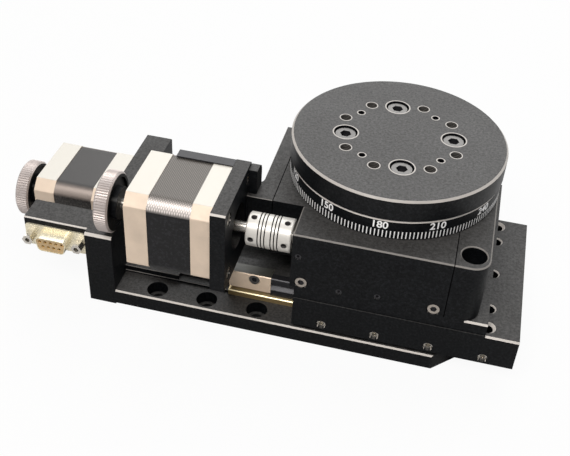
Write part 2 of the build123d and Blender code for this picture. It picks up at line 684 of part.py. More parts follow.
def end_block():
    """The block at the right of the seam, with a rounded corner and two corner bolts."""
    body = block(BODY_SEAM, BODY_RIGHT, BODY_FRONT, BODY_BACK, ADAPTER_TOP, BODY_TOP)
    outer = body.edges().filter_by(Axis.Z).group_by(Axis.X)[-1]
    body = fillet(outer, END_BLOCK_CORNER)
    body = chamfer(outer_top_edges(body), 0.6)
    body -= rod_z(CAVITY_R, CAVITY_BOTTOM, BODY_TOP + 1)
    for x, y in body_bolt_places():
        body -= countersunk_z(BOLT_WELL_R, BOLT_WELL_R + 0.5, BODY_TOP - BOLT_WELL_DEPTH, BODY_TOP, x, y)
        body -= rod_z(3.4, ADAPTER_TOP - 1, BODY_TOP, x, y)
    return body


def body_bolts():
    """Screws down through the end block into the adapter plate."""
    seat = BODY_TOP - BOLT_WELL_DEPTH
    return [cap_screw_z(x, y, seat, seat - CARRIAGE_TOP, 2.55) for x, y in body_bolt_places()]


def side_flange():
    """The plate on the left of the body; its thick front end carries the motor plate."""
    plan = [(PLATE_RIGHT, RECESS_BACK), (BODY_LEFT, RECESS_BACK), (BODY_LEFT, FLANGE_BACK),
            (FLANGE_LEFT, FLANGE_BACK), (FLANGE_LEFT, FLANGE_ARM_BACK), (PLATE_RIGHT, FLANGE_ARM_BACK)]
    body = prism_z(plan, ADAPTER_TOP + 0.5, BODY_TOP)
    inner = body.edges().filter_by(Axis.Z).filter_by_position(
        Axis.X, FLANGE_LEFT - 0.1, FLANGE_LEFT + 0.1).filter_by_position(
        Axis.Y, FLANGE_ARM_BACK - 0.1, FLANGE_ARM_BACK + 0.1)
    body = fillet(inner, 4.0)
    body = chamfer(outer_top_edges(body), 0.25)
    web = block(PLATE_RIGHT, PLATE_RIGHT + WEB_THICK, RECESS_BACK + 2.5, FLANGE_ARM_BACK,
                BODY_TOP - 5, WEB_TOP)
    web = fillet(web.edges().filter_by(Axis.X).group_by(Axis.Z)[-1].sort_by(Axis.Y)[-1], 5.0)
    return body + web


def motor_plate():
    body = block(PLATE_LEFT, PLATE_RIGHT, PLATE_FRONT, PLATE_BACK, PLATE_BOTTOM, PLATE_TOP)
    body = chamfer(body.edges().filter_by(Axis.X).group_by(Axis.Z)[-1], 0.8)
    body -= rod_x(PILOT_R + 0.1, PLATE_LEFT - 1, PLATE_RIGHT + 1, WORM_Y, WORM_Z)
    for dy, dz in motor_square():
        body -= rod_x(1.7, PLATE_LEFT - 1, PLATE_RIGHT + 1, WORM_Y + dy, WORM_Z + dz)
        body -= rod_x(3.1, PLATE_RIGHT - 3.4, PLATE_RIGHT + 1, WORM_Y + dy, WORM_Z + dz)
    return body


def motor_screws(plate_right, seat, y, z):
    """Four screws that clamp a motor to its plate, with their heads sunk in the plate."""
    length = seat - (plate_right - 3.5)
    return [cap_screw_x(y + dy, z + dz, seat, length, 1.2, 2.75, 3.0) for dy, dz in motor_square()]


def terminal_cover():
    """A bent sheet that closes the wiring corner at the back of the worm motor."""
    front = BASE_FRONT + 22.6
    back = BASE_FRONT + 30.3
    top = WORM_Z + MOTOR_SIZE / 2 + 0.75
    wall = 0.7
    outline = [(front, top), (back - 2.4, top), (back, top - 2.4), (back, 50.0), (back - wall, 50.0),
               (back - wall, top - 2.7), (back - 2.7, top - wall), (front, top - wall)]
    left = BASE_LEFT + 39.3
    face = make_face(Plane.YZ * Polyline(*outline, close=True))
    return Pos(left, 0, 0) * extrude(face, PLATE_LEFT - left, dir=(1, 0, 0))


# ================================================================ worm drive
def worm_wheel():
    """A bronze ring with its teeth laid over at the lead angle of the worm."""
    root = WHEEL_PITCH_R - DEDENDUM
    tip = WHEEL_PITCH_R + ADDENDUM
    pitch = pi * MODULE
    half_pitch_line = pitch / 4 - BACKLASH / 4
    slope = tan(radians(PRESSURE_ANGLE))
    half_root = half_pitch_line + DEDENDUM * slope
    half_tip = half_pitch_line - ADDENDUM * slope
    low = WORM_Z - WHEEL_WIDTH / 2
    body = rod_z(root, low, low + WHEEL_WIDTH) - rod_z(SPINDLE_R, low - 1, low + WHEEL_WIDTH + 1)
    inner = root - 0.4
    outline = [(inner, -half_root), (tip, -half_tip), (tip, half_tip), (inner, half_root)]
    section = make_face(Polyline(*outline, close=True))
    lean = degrees(WHEEL_WIDTH / 2 * MODULE / (2 * WORM_PITCH_R) / WHEEL_PITCH_R)
    teeth = []
    for i in range(TEETH):
        turn = -90.0 + 360.0 / TEETH * i
        bottom = Pos(0, 0, low) * Rot(0, 0, turn - lean) * section
        top = Pos(0, 0, low + WHEEL_WIDTH) * Rot(0, 0, turn + lean) * section
        teeth.append(loft([bottom, top], ruled=True))
    return body + teeth


def worm():
    """The worm with its shaft; its thread is a single right-hand start, in a gap of the wheel at rest."""
    pitch = pi * MODULE
    root = WORM_PITCH_R - DEDENDUM
    tip = WORM_PITCH_R + ADDENDUM
    slope = tan(radians(PRESSURE_ANGLE))
    half_pitch_line = pitch / 4 - BACKLASH / 4
    half_root = half_pitch_line + (DEDENDUM + 0.3) * slope
    half_tip = half_pitch_line - ADDENDUM * slope
    length = pitch * WORM_TURNS
    path = Helix(pitch, length, root - 0.3)
    start = path @ 0
    plane = Plane(origin=start, x_dir=(1, 0, 0), z_dir=(0, 1, 0))
    outline = [(0, -half_root), (tip - root + 0.3, -half_tip), (tip - root + 0.3, half_tip), (0, half_root)]
    section = plane * make_face(Polyline(*outline, close=True))
    thread = sweep(section, path=path, is_frenet=True)
    left = -length / 2 - pitch / 4
    thread = Pos(left, WORM_Y, WORM_Z) * Rot(0, 90, 0) * thread
    shaft = rod_x(root, left - 2.5, left + length + 2.5, WORM_Y, WORM_Z)
    shaft += rod_x(3.0, COUPLING_RIGHT - 9.0, BODY_SEAM - 0.6, WORM_Y, WORM_Z)
    return shaft + thread


def worm_bearings():
    rings = []
    for left in (RECESS_RIGHT + 1.2, BODY_SEAM - 7.0):
        rings.append(ring_x(WORM_BORE_R, 3.0 + RUN, left, left + BEARING_WIDTH, WORM_Y, WORM_Z))
    return rings


def beam_coupling():
    body = rod_x(COUPLING_R, COUPLING_LEFT, COUPLING_RIGHT, WORM_Y, WORM_Z)
    body = chamfer(body.edges().filter_by(GeomType.CIRCLE), 0.5)
    middle = (COUPLING_LEFT + COUPLING_RIGHT) / 2
    body -= rod_x(JOURNAL_R, COUPLING_LEFT - 1, middle, WORM_Y, WORM_Z)
    body -= rod_x(3.0, middle - 0.5, COUPLING_RIGHT + 1, WORM_Y, WORM_Z)
    return body


# ================================================================ table
def turned(points, angle=TABLE_TURN):
    c, s = cos(radians(angle)), sin(radians(angle))
    return [(x * c - y * s, x * s + y * c) for x, y in points]


def screw_circle():
    r = TABLE_CIRCLE_R
    return turned([(r, 0), (0, r), (-r, 0), (0, -r)])


def dowel_circle():
    r = TABLE_CIRCLE_R * cos(radians(45))
    return turned([(sx * r, sy * r) for sx in (-1, 1) for sy in (-1, 1)])


def tapped_holes():
    """Eight holes on a half-inch grid about the turning axis."""
    long, short = 1.0 * INCH, 0.5 * INCH
    points = []
    for sx in (-1, 1):
        for sy in (-1, 1):
            points += [(sx * long, sy * short), (sx * short, sy * long)]
    return turned(points)


def table_disc():
    body = rod_z(TABLE_R, TABLE_BOTTOM, TABLE_TOP)
    body = chamfer(body.edges().filter_by(GeomType.CIRCLE).group_by(Axis.Z)[-1], 0.9)
    for x, y in screw_circle():
        body -= rod_z(5.6, TABLE_TOP - 7.2, TABLE_TOP + 1, x, y)
        body -= rod_z(3.3, TABLE_BOTTOM - 1, TABLE_TOP, x, y)
    for x, y in tapped_holes():
        body -= rod_z(2.55, TABLE_TOP - 9.5, TABLE_TOP + 1, x, y)
    for x, y in dowel_circle():
        body -= rod_z(1.6, TABLE_TOP - 6.0, TABLE_TOP + 1, x, y)
    return body


def dial_ring():
    body = rod_z(DIAL_R, DIAL_BOTTOM, TABLE_BOTTOM)
    body = chamfer(body.edges().filter_by(GeomType.CIRCLE).group_by(Axis.Z)[-1], 0.7)
    return body - rod_z(DIAL_INNER_R, DIAL_BOTTOM - 1, TABLE_BOTTOM + 1)


def spindle():
    body = rod_z(SPINDLE_R, SPINDLE_BOTTOM, TABLE_BOTTOM)
    body += rod_z(SPINDLE_FLANGE_R, DIAL_BOTTOM + 0.4, TABLE_BOTTOM)
    for x, y in screw_circle():
        body -= rod_z(CAP_SCREW_R, TABLE_BOTTOM - 9.0, TABLE_BOTTOM + 1, x, y)
    return body


def table_screws():
    return [cap_screw_z(x, y, TABLE_TOP - 7.2, 12.0) for x, y in screw_circle()]


def table_bearing():
    body = rod_z(TABLE_BEARING_R, TABLE_BEARING_BOTTOM, TABLE_BEARING_TOP)
    return body - rod_z(SPINDLE_R + RUN, TABLE_BEARING_BOTTOM - 1, TABLE_BEARING_TOP + 1)


# ================================================================ assembly
nodes["base_plate"] = base_plate()
nodes["end_plate"] = end_plate()
nodes["end_plate_screws"] = end_plate_screws()
nodes["way_bars"] = way_bars()
nodes["stop_blocks"] = stop_blocks()
nodes["stop_block_screws"] = stop_block_screws()
nodes["fixed_rails"] = fixed_rails()
nodes["screw_bearing_block"] = screw_bearing_block()
nodes["screw_bearing"] = screw_bearing()

axial_front, axial_stack, axial_rear = motor_pieces(BASE_LEFT, SCREW_Y, SCREW_Z)
nodes["linear_motor_front_cap"] = axial_front
nodes["linear_motor_stack"] = axial_stack
nodes["linear_motor_rear_cap"] = axial_rear
nodes["linear_motor_screws"] = motor_screws(BASE_LEFT, BASE_LEFT + 5.0, SCREW_Y, SCREW_Z)

nodes["connector_box"] = connector_box()
nodes["connector_shell"] = db9_shell()
nodes["connector_insert"] = db9_insert()
nodes["connector_contacts"] = db9_contacts()
nodes["connector_jackscrews"] = jackscrews()

nodes["lead_screw"] = lead_screw()
nodes["lead_coupling"] = lead_coupling()
linear_knob_left = BASE_LEFT - 55.6
nodes["linear_motor_rotor"] = motor_rotor(BASE_LEFT, SCREW_Y, SCREW_Z) + rod_x(
    JOURNAL_R, linear_knob_left + 1.0, BASE_LEFT + 27.0, SCREW_Y, SCREW_Z)
nodes["linear_motor_knob"] = knob(linear_knob_left, SCREW_Y, SCREW_Z)

nodes["carriage_plate"] = carriage_plate()
nodes["moving_rails"] = moving_rails()
nodes["preload_screws"] = preload_screws()
nodes["lead_nut"] = lead_nut()
nodes["roller_cages"] = roller_cages()
nodes["crossed_rollers"] = crossed_rollers()

nodes["adapter_plate"] = adapter_plate()
nodes["rotary_body"] = rotary_body()
nodes["rotary_end_block"] = end_block()
nodes["rotary_side_flange"] = side_flange()
nodes["rotary_bolts"] = body_bolts()
nodes["front_screws"] = body_screws()
nodes["front_set_screws"] = body_set_screws()
nodes["table_bearing"] = table_bearing()
nodes["worm_bearings"] = worm_bearings()

worm_front, worm_stack, worm_rear = motor_pieces(PLATE_LEFT, WORM_Y, WORM_Z)
nodes["motor_plate"] = motor_plate()
nodes["worm_motor_front_cap"] = worm_front
nodes["worm_motor_stack"] = worm_stack
nodes["worm_motor_rear_cap"] = worm_rear
nodes["worm_motor_screws"] = motor_screws(PLATE_LEFT, PLATE_RIGHT - 3.4, WORM_Y, WORM_Z)
nodes["terminal_cover"] = terminal_cover()

worm_knob_left = BASE_LEFT + 8.3
nodes["worm"] = worm()
nodes["beam_coupling"] = beam_coupling()
nodes["worm_motor_rotor"] = motor_rotor(PLATE_LEFT, WORM_Y, WORM_Z) + rod_x(
    JOURNAL_R, worm_knob_left + 1.0, COUPLING_LEFT + 9.0, WORM_Y, WORM_Z)
nodes["worm_motor_knob"] = knob(worm_knob_left, WORM_Y, WORM_Z)

nodes["table_disc"] = table_disc()
nodes["dial_ring"] = dial_ring()
nodes["spindle"] = spindle()
nodes["worm_wheel"] = worm_wheel()
nodes["table_screws"] = table_screws()

os.makedirs("parts", exist_ok=True)
for name, shape in nodes.items():
    if isinstance(shape, list):
        shape = Compound(children=shape)
    export_step(shape, "parts/" + name + ".step")
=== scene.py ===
import math

import bmesh
import bpy
from bpy.props import FloatProperty, FloatVectorProperty, IntProperty, PointerProperty
from mathutils import Matrix, Vector
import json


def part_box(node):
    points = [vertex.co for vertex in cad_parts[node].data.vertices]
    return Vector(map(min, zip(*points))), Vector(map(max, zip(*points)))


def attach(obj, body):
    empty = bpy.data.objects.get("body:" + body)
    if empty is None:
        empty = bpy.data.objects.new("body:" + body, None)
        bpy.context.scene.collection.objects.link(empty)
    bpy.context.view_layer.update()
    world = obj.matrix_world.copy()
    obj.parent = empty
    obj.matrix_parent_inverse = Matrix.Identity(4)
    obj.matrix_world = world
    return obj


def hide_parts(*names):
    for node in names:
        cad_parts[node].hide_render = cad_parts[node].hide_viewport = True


bl_info = {
    "name": "Rotation Stage",
    "version": (1, 0, 0),
    "blender": (4, 5, 0),
    "location": "View3D > Sidebar > Rotation Stage",
    "description": "Dresses a two-axis worm-drive rotation stage",
    "category": "Object",
}

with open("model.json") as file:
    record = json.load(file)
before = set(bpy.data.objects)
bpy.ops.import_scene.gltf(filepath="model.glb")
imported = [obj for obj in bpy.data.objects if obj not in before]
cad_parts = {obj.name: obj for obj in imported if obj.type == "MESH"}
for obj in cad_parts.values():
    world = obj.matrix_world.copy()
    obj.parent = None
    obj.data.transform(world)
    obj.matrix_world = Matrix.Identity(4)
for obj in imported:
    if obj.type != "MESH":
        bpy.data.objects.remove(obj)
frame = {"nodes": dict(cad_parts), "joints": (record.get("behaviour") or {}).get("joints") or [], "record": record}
NODES = frame["nodes"]
JOINTS = {j["name"]: j for j in frame["joints"]}
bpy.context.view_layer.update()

MM = 0.001
WORM_AXIS = Vector(JOINTS["worm_turn"]["pos_m"])
SCREW_AXIS = Vector(JOINTS["lead_screw_turn"]["pos_m"])
HEAD_PROUD = 0.3 * MM                  # of the screws in the motors' rear caps
HOUSING_SEAMS = (0.0352, -0.0510)      # where the pieces of the rotary housing meet, along X
BASE_ARRISES = (0.0133, 0.0102)        # levels of the base's platform and of the step before it, with painted highlight lines along their front edges
DIAL_LINE = (0.0752, 0.0766)           # the painted highlight band at the top of the dial
PATTERN_TURN = 10.3                    # degrees that the table's holes stand turned at rest
THREAD_PITCH = 0.9 * MM                # drawn inside the table's tapped holes
WAVES_PER_SCALE = 3.18                 # bands that a wave texture draws in one metre at scale 1
# the table's holes, each by its two distances from the pattern's axes and its radius
TABLE_HOLES = ((0.0254, 0.0, 0.0056), (0.0254, 0.0127, 0.00255), (0.01796, 0.01796, 0.0016))


# ---------- settings
class StageDialSettings(bpy.types.PropertyGroup):
    """Sizes of the printed dial"""

    tick_count: IntProperty(
        name="Ticks", description="Divisions around the dial", default=180, min=36, max=360)
    tick_width: FloatProperty(
        name="Tick Width", description="Width of a division", default=0.0005, unit="LENGTH")
    tick_height: FloatProperty(
        name="Tick Height", description="Height of a division", default=0.0038, unit="LENGTH")
    numeral_step: IntProperty(
        name="Numeral Step", description="Degrees between numerals", default=30, min=10, max=90)
    numeral_height: FloatProperty(
        name="Numeral Height", description="Height of a numeral", default=0.0037, unit="LENGTH")
    numeral_centre: FloatProperty(
        name="Numeral Level", description="Level of the numerals' middle", default=0.0728, unit="LENGTH")


class StageCouplingSettings(bpy.types.PropertyGroup):
    """Sizes of the helical-cut coupling"""

    cut_width: FloatProperty(
        name="Cut Width", description="Width of the helical cut", default=0.00055, unit="LENGTH")
    cut_pitch: FloatProperty(
        name="Cut Pitch", description="Advance of the cut in one turn", default=0.00155, unit="LENGTH")
    cut_turns: IntProperty(
        name="Cut Turns", description="Turns in each group of cuts", default=3, min=1, max=4)
    screw_radius: FloatProperty(
        name="Screw Radius", description="Radius of a set screw hole", default=0.00135, unit="LENGTH")


class StageKnobSettings(bpy.types.PropertyGroup):
    """Sizes of the knurl on the hand knobs"""

    ridges: IntProperty(
        name="Ridges", description="Ridges around a knob", default=72, min=24, max=120)
    ridge_size: FloatProperty(
        name="Ridge Size", description="Side of a ridge's square section", default=0.00062, unit="LENGTH")


class StageScrewSettings(bpy.types.PropertyGroup):
    """Sizes of the lead screw's thread and of the motors' screws"""

    lead: FloatProperty(
        name="Lead", description="Advance of the lead screw in one turn", default=0.00254, unit="LENGTH")
    thread_depth: FloatProperty(
        name="Thread Depth", description="Depth of the thread", default=0.0007, unit="LENGTH")
    head_radius: FloatProperty(
        name="Head Radius", description="Radius of the motors' rear screws", default=0.0027, unit="LENGTH")


class StageFinishSettings(bpy.types.PropertyGroup):
    """Colours that a user would change"""

    anodising: FloatVectorProperty(
        name="Anodising", description="Colour of the black anodised pieces",
        size=3, subtype="COLOR", default=(0.0018, 0.0022, 0.0028), min=0.0, max=1.0)
    # colour of the painted sheen on upward anodised faces, speckled with the blasted grain
    upward_sheen: FloatVectorProperty(
        name="Upper Faces", description="Colour of the blasted grain on upward faces",
        size=3, subtype="COLOR", default=(0.060, 0.059, 0.058), min=0.0, max=1.0)
    # colour of the painted highlights on the anodised pieces' chamfers, arrises, dial band and hole rims
    bevel_highlight: FloatVectorProperty(
        name="Bevels", description="Colour of the bright bevels",
        size=3, subtype="COLOR", default=(0.72, 0.68, 0.64), min=0.0, max=1.0)
    marks: FloatVectorProperty(
        name="Marks", description="Colour of the dial's print",
        size=3, subtype="COLOR", default=(0.90, 0.90, 0.90), min=0.0, max=1.0)


GROUPS = {"stage_dial": StageDialSettings, "stage_coupling": StageCouplingSettings,
          "stage_knobs": StageKnobSettings, "stage_screws": StageScrewSettings,
          "stage_finish": StageFinishSettings}


# ---------- node helpers
def new_material(name):
    """An empty node material with an output, and its tree."""
    material = bpy.data.materials.new(name)
    material.use_nodes = True
    tree = material.node_tree
    tree.nodes.clear()
    return material, tree


def add_node(tree, kind, **settings):
    node = tree.nodes.new(kind)
    for key, value in settings.items():
        setattr(node, key, value)
    return node


def link(tree, source, target):
    tree.links.new(source, target)


def object_coords(tree, scale=(1.0, 1.0, 1.0), turn=(0.0, 0.0, 0.0)):
    """Object coordinates through a Mapping node."""
    coords = add_node(tree, "ShaderNodeTexCoord")
    mapping = add_node(tree, "ShaderNodeMapping")
    mapping.inputs["Scale"].default_value = scale
    mapping.inputs["Rotation"].default_value = turn
    link(tree, coords.outputs["Object"], mapping.inputs["Vector"])
    return mapping.outputs["Vector"]


def noise(tree, vector, scale, detail=4.0, roughness=0.6):
    node = add_node(tree, "ShaderNodeTexNoise")
    node.inputs["Scale"].default_value = scale
    node.inputs["Detail"].default_value = detail
    node.inputs["Roughness"].default_value = roughness
    link(tree, vector, node.inputs["Vector"])
    return node.outputs["Fac"]


def ramp(tree, value, low, high, to_low=0.0, to_high=1.0):
    """A value moved from one range to another, held at both ends."""
    node = add_node(tree, "ShaderNodeMapRange", clamp=True)
    node.inputs["From Min"].default_value = low
    node.inputs["From Max"].default_value = high
    node.inputs["To Min"].default_value = to_low
    node.inputs["To Max"].default_value = to_high
    link(tree, value, node.inputs["Value"])
    return node.outputs["Result"]


def mix_colour(tree, factor, first, second):
    node = add_node(tree, "ShaderNodeMix", data_type="RGBA")
    for socket, value in ((node.inputs[6], first), (node.inputs[7], second)):
        if isinstance(value, tuple):
            socket.default_value = (*value, 1.0)
        else:
            link(tree, value, socket)
    if isinstance(factor, float):
        node.inputs[0].default_value = factor
    else:
        link(tree, factor, node.inputs[0])
    return node.outputs[2]


def maths(tree, operation, first, second=None):
    node = add_node(tree, "ShaderNodeMath", operation=operation)
    for socket, value in zip(node.inputs, (first, second)):
        if value is None:
            continue
        if isinstance(value, (int, float)):
            socket.default_value = value
        else:
            link(tree, value, socket)
    return node.outputs[0]


def times(tree, first, second):
    return maths(tree, "MULTIPLY", first, second)


def bump(tree, height, strength, distance):
    node = add_node(tree, "ShaderNodeBump")
    node.inputs["Strength"].default_value = strength
    node.inputs["Distance"].default_value = distance
    link(tree, height, node.inputs["Height"])
    return node.outputs["Normal"]


def shader(tree, metallic, specular):
    """A Principled shader wired to the output."""
    node = add_node(tree, "ShaderNodeBsdfPrincipled")
    node.inputs["Metallic"].default_value = metallic
    node.inputs["Specular IOR Level"].default_value = specular
    output = add_node(tree, "ShaderNodeOutputMaterial")
    link(tree, node.outputs["BSDF"], output.inputs["Surface"])
    return node


# ---------- materials
def normal_axis(tree, axis):
    """One component of the surface normal."""
    geometry = add_node(tree, "ShaderNodeNewGeometry")
    split = add_node(tree, "ShaderNodeSeparateXYZ")
    link(tree, geometry.outputs["Normal"], split.inputs["Vector"])
    return split.outputs[axis]


def position_axis(tree, axis):
    """One object coordinate."""
    split = add_node(tree, "ShaderNodeSeparateXYZ")
    link(tree, object_coords(tree), split.inputs["Vector"])
    return split.outputs[axis]


def chamfer_highlight_mask(tree):
    """1 on the narrow upward chamfers, whose normals lean at 45 degrees, where a highlight is painted."""
    up = normal_axis(tree, "Z")
    rising = ramp(tree, up, 0.62, 0.68)
    falling = ramp(tree, up, 0.74, 0.82, 1.0, 0.0)
    return times(tree, rising, falling)


def seam_mask(tree, places):
    """1 on thin lines across X where two pieces of a housing meet."""
    along = position_axis(tree, "X")
    total = 0.0
    for place in places:
        off = maths(tree, "ABSOLUTE", maths(tree, "SUBTRACT", along, place))
        total = maths(tree, "ADD", ramp(tree, off, 0.00016, 0.00030, 1.0, 0.0), total)
    return maths(tree, "MINIMUM", total, 1.0)


def band_mask(tree, axis, low, high):
    """1 where an object coordinate lies between low and high."""
    place = position_axis(tree, axis)
    above = maths(tree, "GREATER_THAN", place, low)
    below = maths(tree, "LESS_THAN", place, high)
    return times(tree, above, below)


def front_arris_mask(tree, levels):
    """1 on thin lines along X on front faces, just under each level, where highlight lines are painted."""
    total = 0.0
    for level in levels:
        total = maths(tree, "ADD", band_mask(tree, "Z", level - 0.45 * MM, level + 0.05 * MM), total)
    front = maths(tree, "LESS_THAN", normal_axis(tree, "Y"), -0.9)
    return times(tree, front, maths(tree, "MINIMUM", total, 1.0))


def hole_distance(tree, long, short):
    """Distance from the nearest of the holes that repeat in the table's quarters and halves of quarters."""
    turned = object_coords(tree, turn=(0.0, 0.0, -math.radians(PATTERN_TURN)))
    split = add_node(tree, "ShaderNodeSeparateXYZ")
    link(tree, turned, split.inputs["Vector"])
    x = maths(tree, "ABSOLUTE", split.outputs["X"])
    y = maths(tree, "ABSOLUTE", split.outputs["Y"])
    across = maths(tree, "SUBTRACT", maths(tree, "MAXIMUM", x, y), long)
    along = maths(tree, "SUBTRACT", maths(tree, "MINIMUM", x, y), short)
    squares = maths(tree, "ADD", times(tree, across, across), times(tree, along, along))
    return maths(tree, "SQRT", squares)


def hole_rims(tree, tone, colour):
    """Painted highlight rims round the table's holes on upward faces, and painted shade inside the tapped ones
    with lit bands painted for their threads.
    """
    for long, short, radius in TABLE_HOLES:
        distance = hole_distance(tree, long, short)
        wide = radius + (0.55 if radius > 5 * MM else 0.45) * MM
        rim = times(tree, ramp(tree, distance, wide, wide + 0.12 * MM, 1.0, 0.0),
                    ramp(tree, distance, radius - 0.1 * MM, radius))
        rim = times(tree, rim, maths(tree, "GREATER_THAN", normal_axis(tree, "Z"), 0.9))
        tone = mix_colour(tree, times(tree, rim, 0.55), tone, colour)
    long, short, radius = TABLE_HOLES[1]
    # painted shade inside the tapped holes, with lit bands painted on their walls for the threads
    inside = maths(tree, "LESS_THAN", hole_distance(tree, long, short), radius + 0.03 * MM)
    upright = maths(tree, "LESS_THAN", normal_axis(tree, "Z"), 0.5)
    turns = add_node(tree, "ShaderNodeTexWave", wave_type="BANDS", bands_direction="Z", wave_profile="TRI")
    turns.inputs["Scale"].default_value = 1.0 / THREAD_PITCH / WAVES_PER_SCALE
    link(tree, object_coords(tree), turns.inputs["Vector"])
    lit = times(tree, turns.outputs["Fac"], upright)
    threads = mix_colour(tree, lit, (0.004, 0.004, 0.004), tuple(c * 0.22 for c in colour))
    return mix_colour(tree, inside, tone, threads)


def anodised(name, colour, highlight_colour, highlight_share=0.85, roughness=0.46, specular=0.13, top=None, seams=(),
             arrises=(), band=None, turned=False):
    """Bead-blasted black anodising: a speckled grain, faint clouding, and a painted highlight on upward chamfers.

    top paints a sheen on upward faces, speckled with the grain; seams are thin dark lines across X; arrises are
    levels with painted highlight lines in front;
    band is a stretch of Z painted as a highlight; and turned gives a face its turning rings, painted highlight
    rims round the table's holes and painted shade in its tapped holes.
    """
    material, tree = new_material(name)
    surface = shader(tree, 0.0, specular)
    coords = object_coords(tree)
    cloud = noise(tree, coords, 42.0, 5.0, 0.55)
    grain = noise(tree, coords, 1500.0, 2.0, 0.5)
    speck = noise(tree, coords, 800.0, 2.0, 0.8)
    scuff = noise(tree, object_coords(tree, (60.0, 900.0, 900.0)), 1.0, 3.0, 0.6)
    body = mix_colour(tree, ramp(tree, cloud, 0.3, 0.7), colour, tuple(c * 1.5 for c in colour))
    lighter = tuple(min(1.0, c * 5.0) for c in colour)
    body = mix_colour(tree, ramp(tree, speck, 0.52, 0.72, 0.0, 0.55), body, lighter)
    body = mix_colour(tree, ramp(tree, scuff, 0.68, 0.84, 0.0, 0.3), body, lighter)
    # paints a sheen on upward faces, speckled with the grain
    if top:
        speckled_sheen = mix_colour(tree, ramp(tree, speck, 0.35, 0.70), tuple(c * 0.55 for c in top), top)
        body = mix_colour(tree, ramp(tree, normal_axis(tree, "Z"), 0.90, 0.98), body, speckled_sheen)
    patchy = ramp(tree, cloud, 0.2, 0.45, highlight_share * 0.8, highlight_share)
    # painted highlight on the upward chamfers, patchy with the clouding
    tone = mix_colour(tree, times(tree, chamfer_highlight_mask(tree), patchy), body, highlight_colour)
    if arrises:
        # painted highlight lines along the front arrises
        arris_highlight = times(tree, front_arris_mask(tree, arrises), 0.45)
        tone = mix_colour(tree, arris_highlight, tone, highlight_colour)
    # a stretch of Z painted as a highlight
    if band:
        tone = mix_colour(tree, band_mask(tree, "Z", *band), tone, highlight_colour)
    if turned:
        tone = hole_rims(tree, tone, highlight_colour)
    if seams:
        parted = times(tree, seam_mask(tree, seams), 0.95)
        tone = mix_colour(tree, parted, tone, (0.001, 0.001, 0.001))
    link(tree, tone, surface.inputs["Base Color"])
    shine = ramp(tree, speck, 0.3, 0.7, specular * 0.72, specular * 1.3)
    if seams:
        shine = times(tree, shine, maths(tree, "SUBTRACT", 1.0, seam_mask(tree, seams)))
    link(tree, shine, surface.inputs["Specular IOR Level"])
    link(tree, ramp(tree, cloud, 0.25, 0.75, roughness - 0.05, roughness + 0.07), surface.inputs["Roughness"])
    if turned:
        rings = add_node(tree, "ShaderNodeTexWave", wave_type="RINGS", rings_direction="Z",
                         wave_profile="SIN")
        rings.inputs["Scale"].default_value = 900.0
        rings.inputs["Distortion"].default_value = 0.4
        link(tree, coords, rings.inputs["Vector"])
        grain = maths(tree, "ADD", times(tree, rings.outputs["Fac"], 0.5), grain)
    link(tree, bump(tree, grain, 0.3, 0.00006), surface.inputs["Normal"])
    return material


def bare_metal(name, colour, roughness=0.35, metallic=0.9, grain_scale=1400.0, stretch=(1.0, 1.0, 1.0),
               bump_height=0.00004, top=None, edge=None):
    """Bare metal with grain; stretch draws the grain out along a ground direction, top paints the light and shade
    of upward faces, and edge paints a highlight on upward chamfers.
    """
    material, tree = new_material(name)
    surface = shader(tree, metallic, 0.5)
    grain = noise(tree, object_coords(tree, stretch), grain_scale, 3.0, 0.6)
    cloud = noise(tree, object_coords(tree), 70.0, 4.0, 0.6)
    tone = mix_colour(tree, ramp(tree, cloud, 0.3, 0.7), colour, tuple(c * 0.82 for c in colour))
    # top is painted on upward faces as light (cast aluminium, brass) and as shade (the ground block)
    if top:
        tone = mix_colour(tree, ramp(tree, normal_axis(tree, "Z"), 0.8, 0.95), tone, top)
    # painted highlight on upward chamfers
    if edge:
        tone = mix_colour(tree, chamfer_highlight_mask(tree), tone, edge)
    link(tree, tone, surface.inputs["Base Color"])
    link(tree, ramp(tree, grain, 0.2, 0.8, roughness - 0.07, roughness + 0.1), surface.inputs["Roughness"])
    link(tree, bump(tree, grain, 0.3, bump_height), surface.inputs["Normal"])
    return material


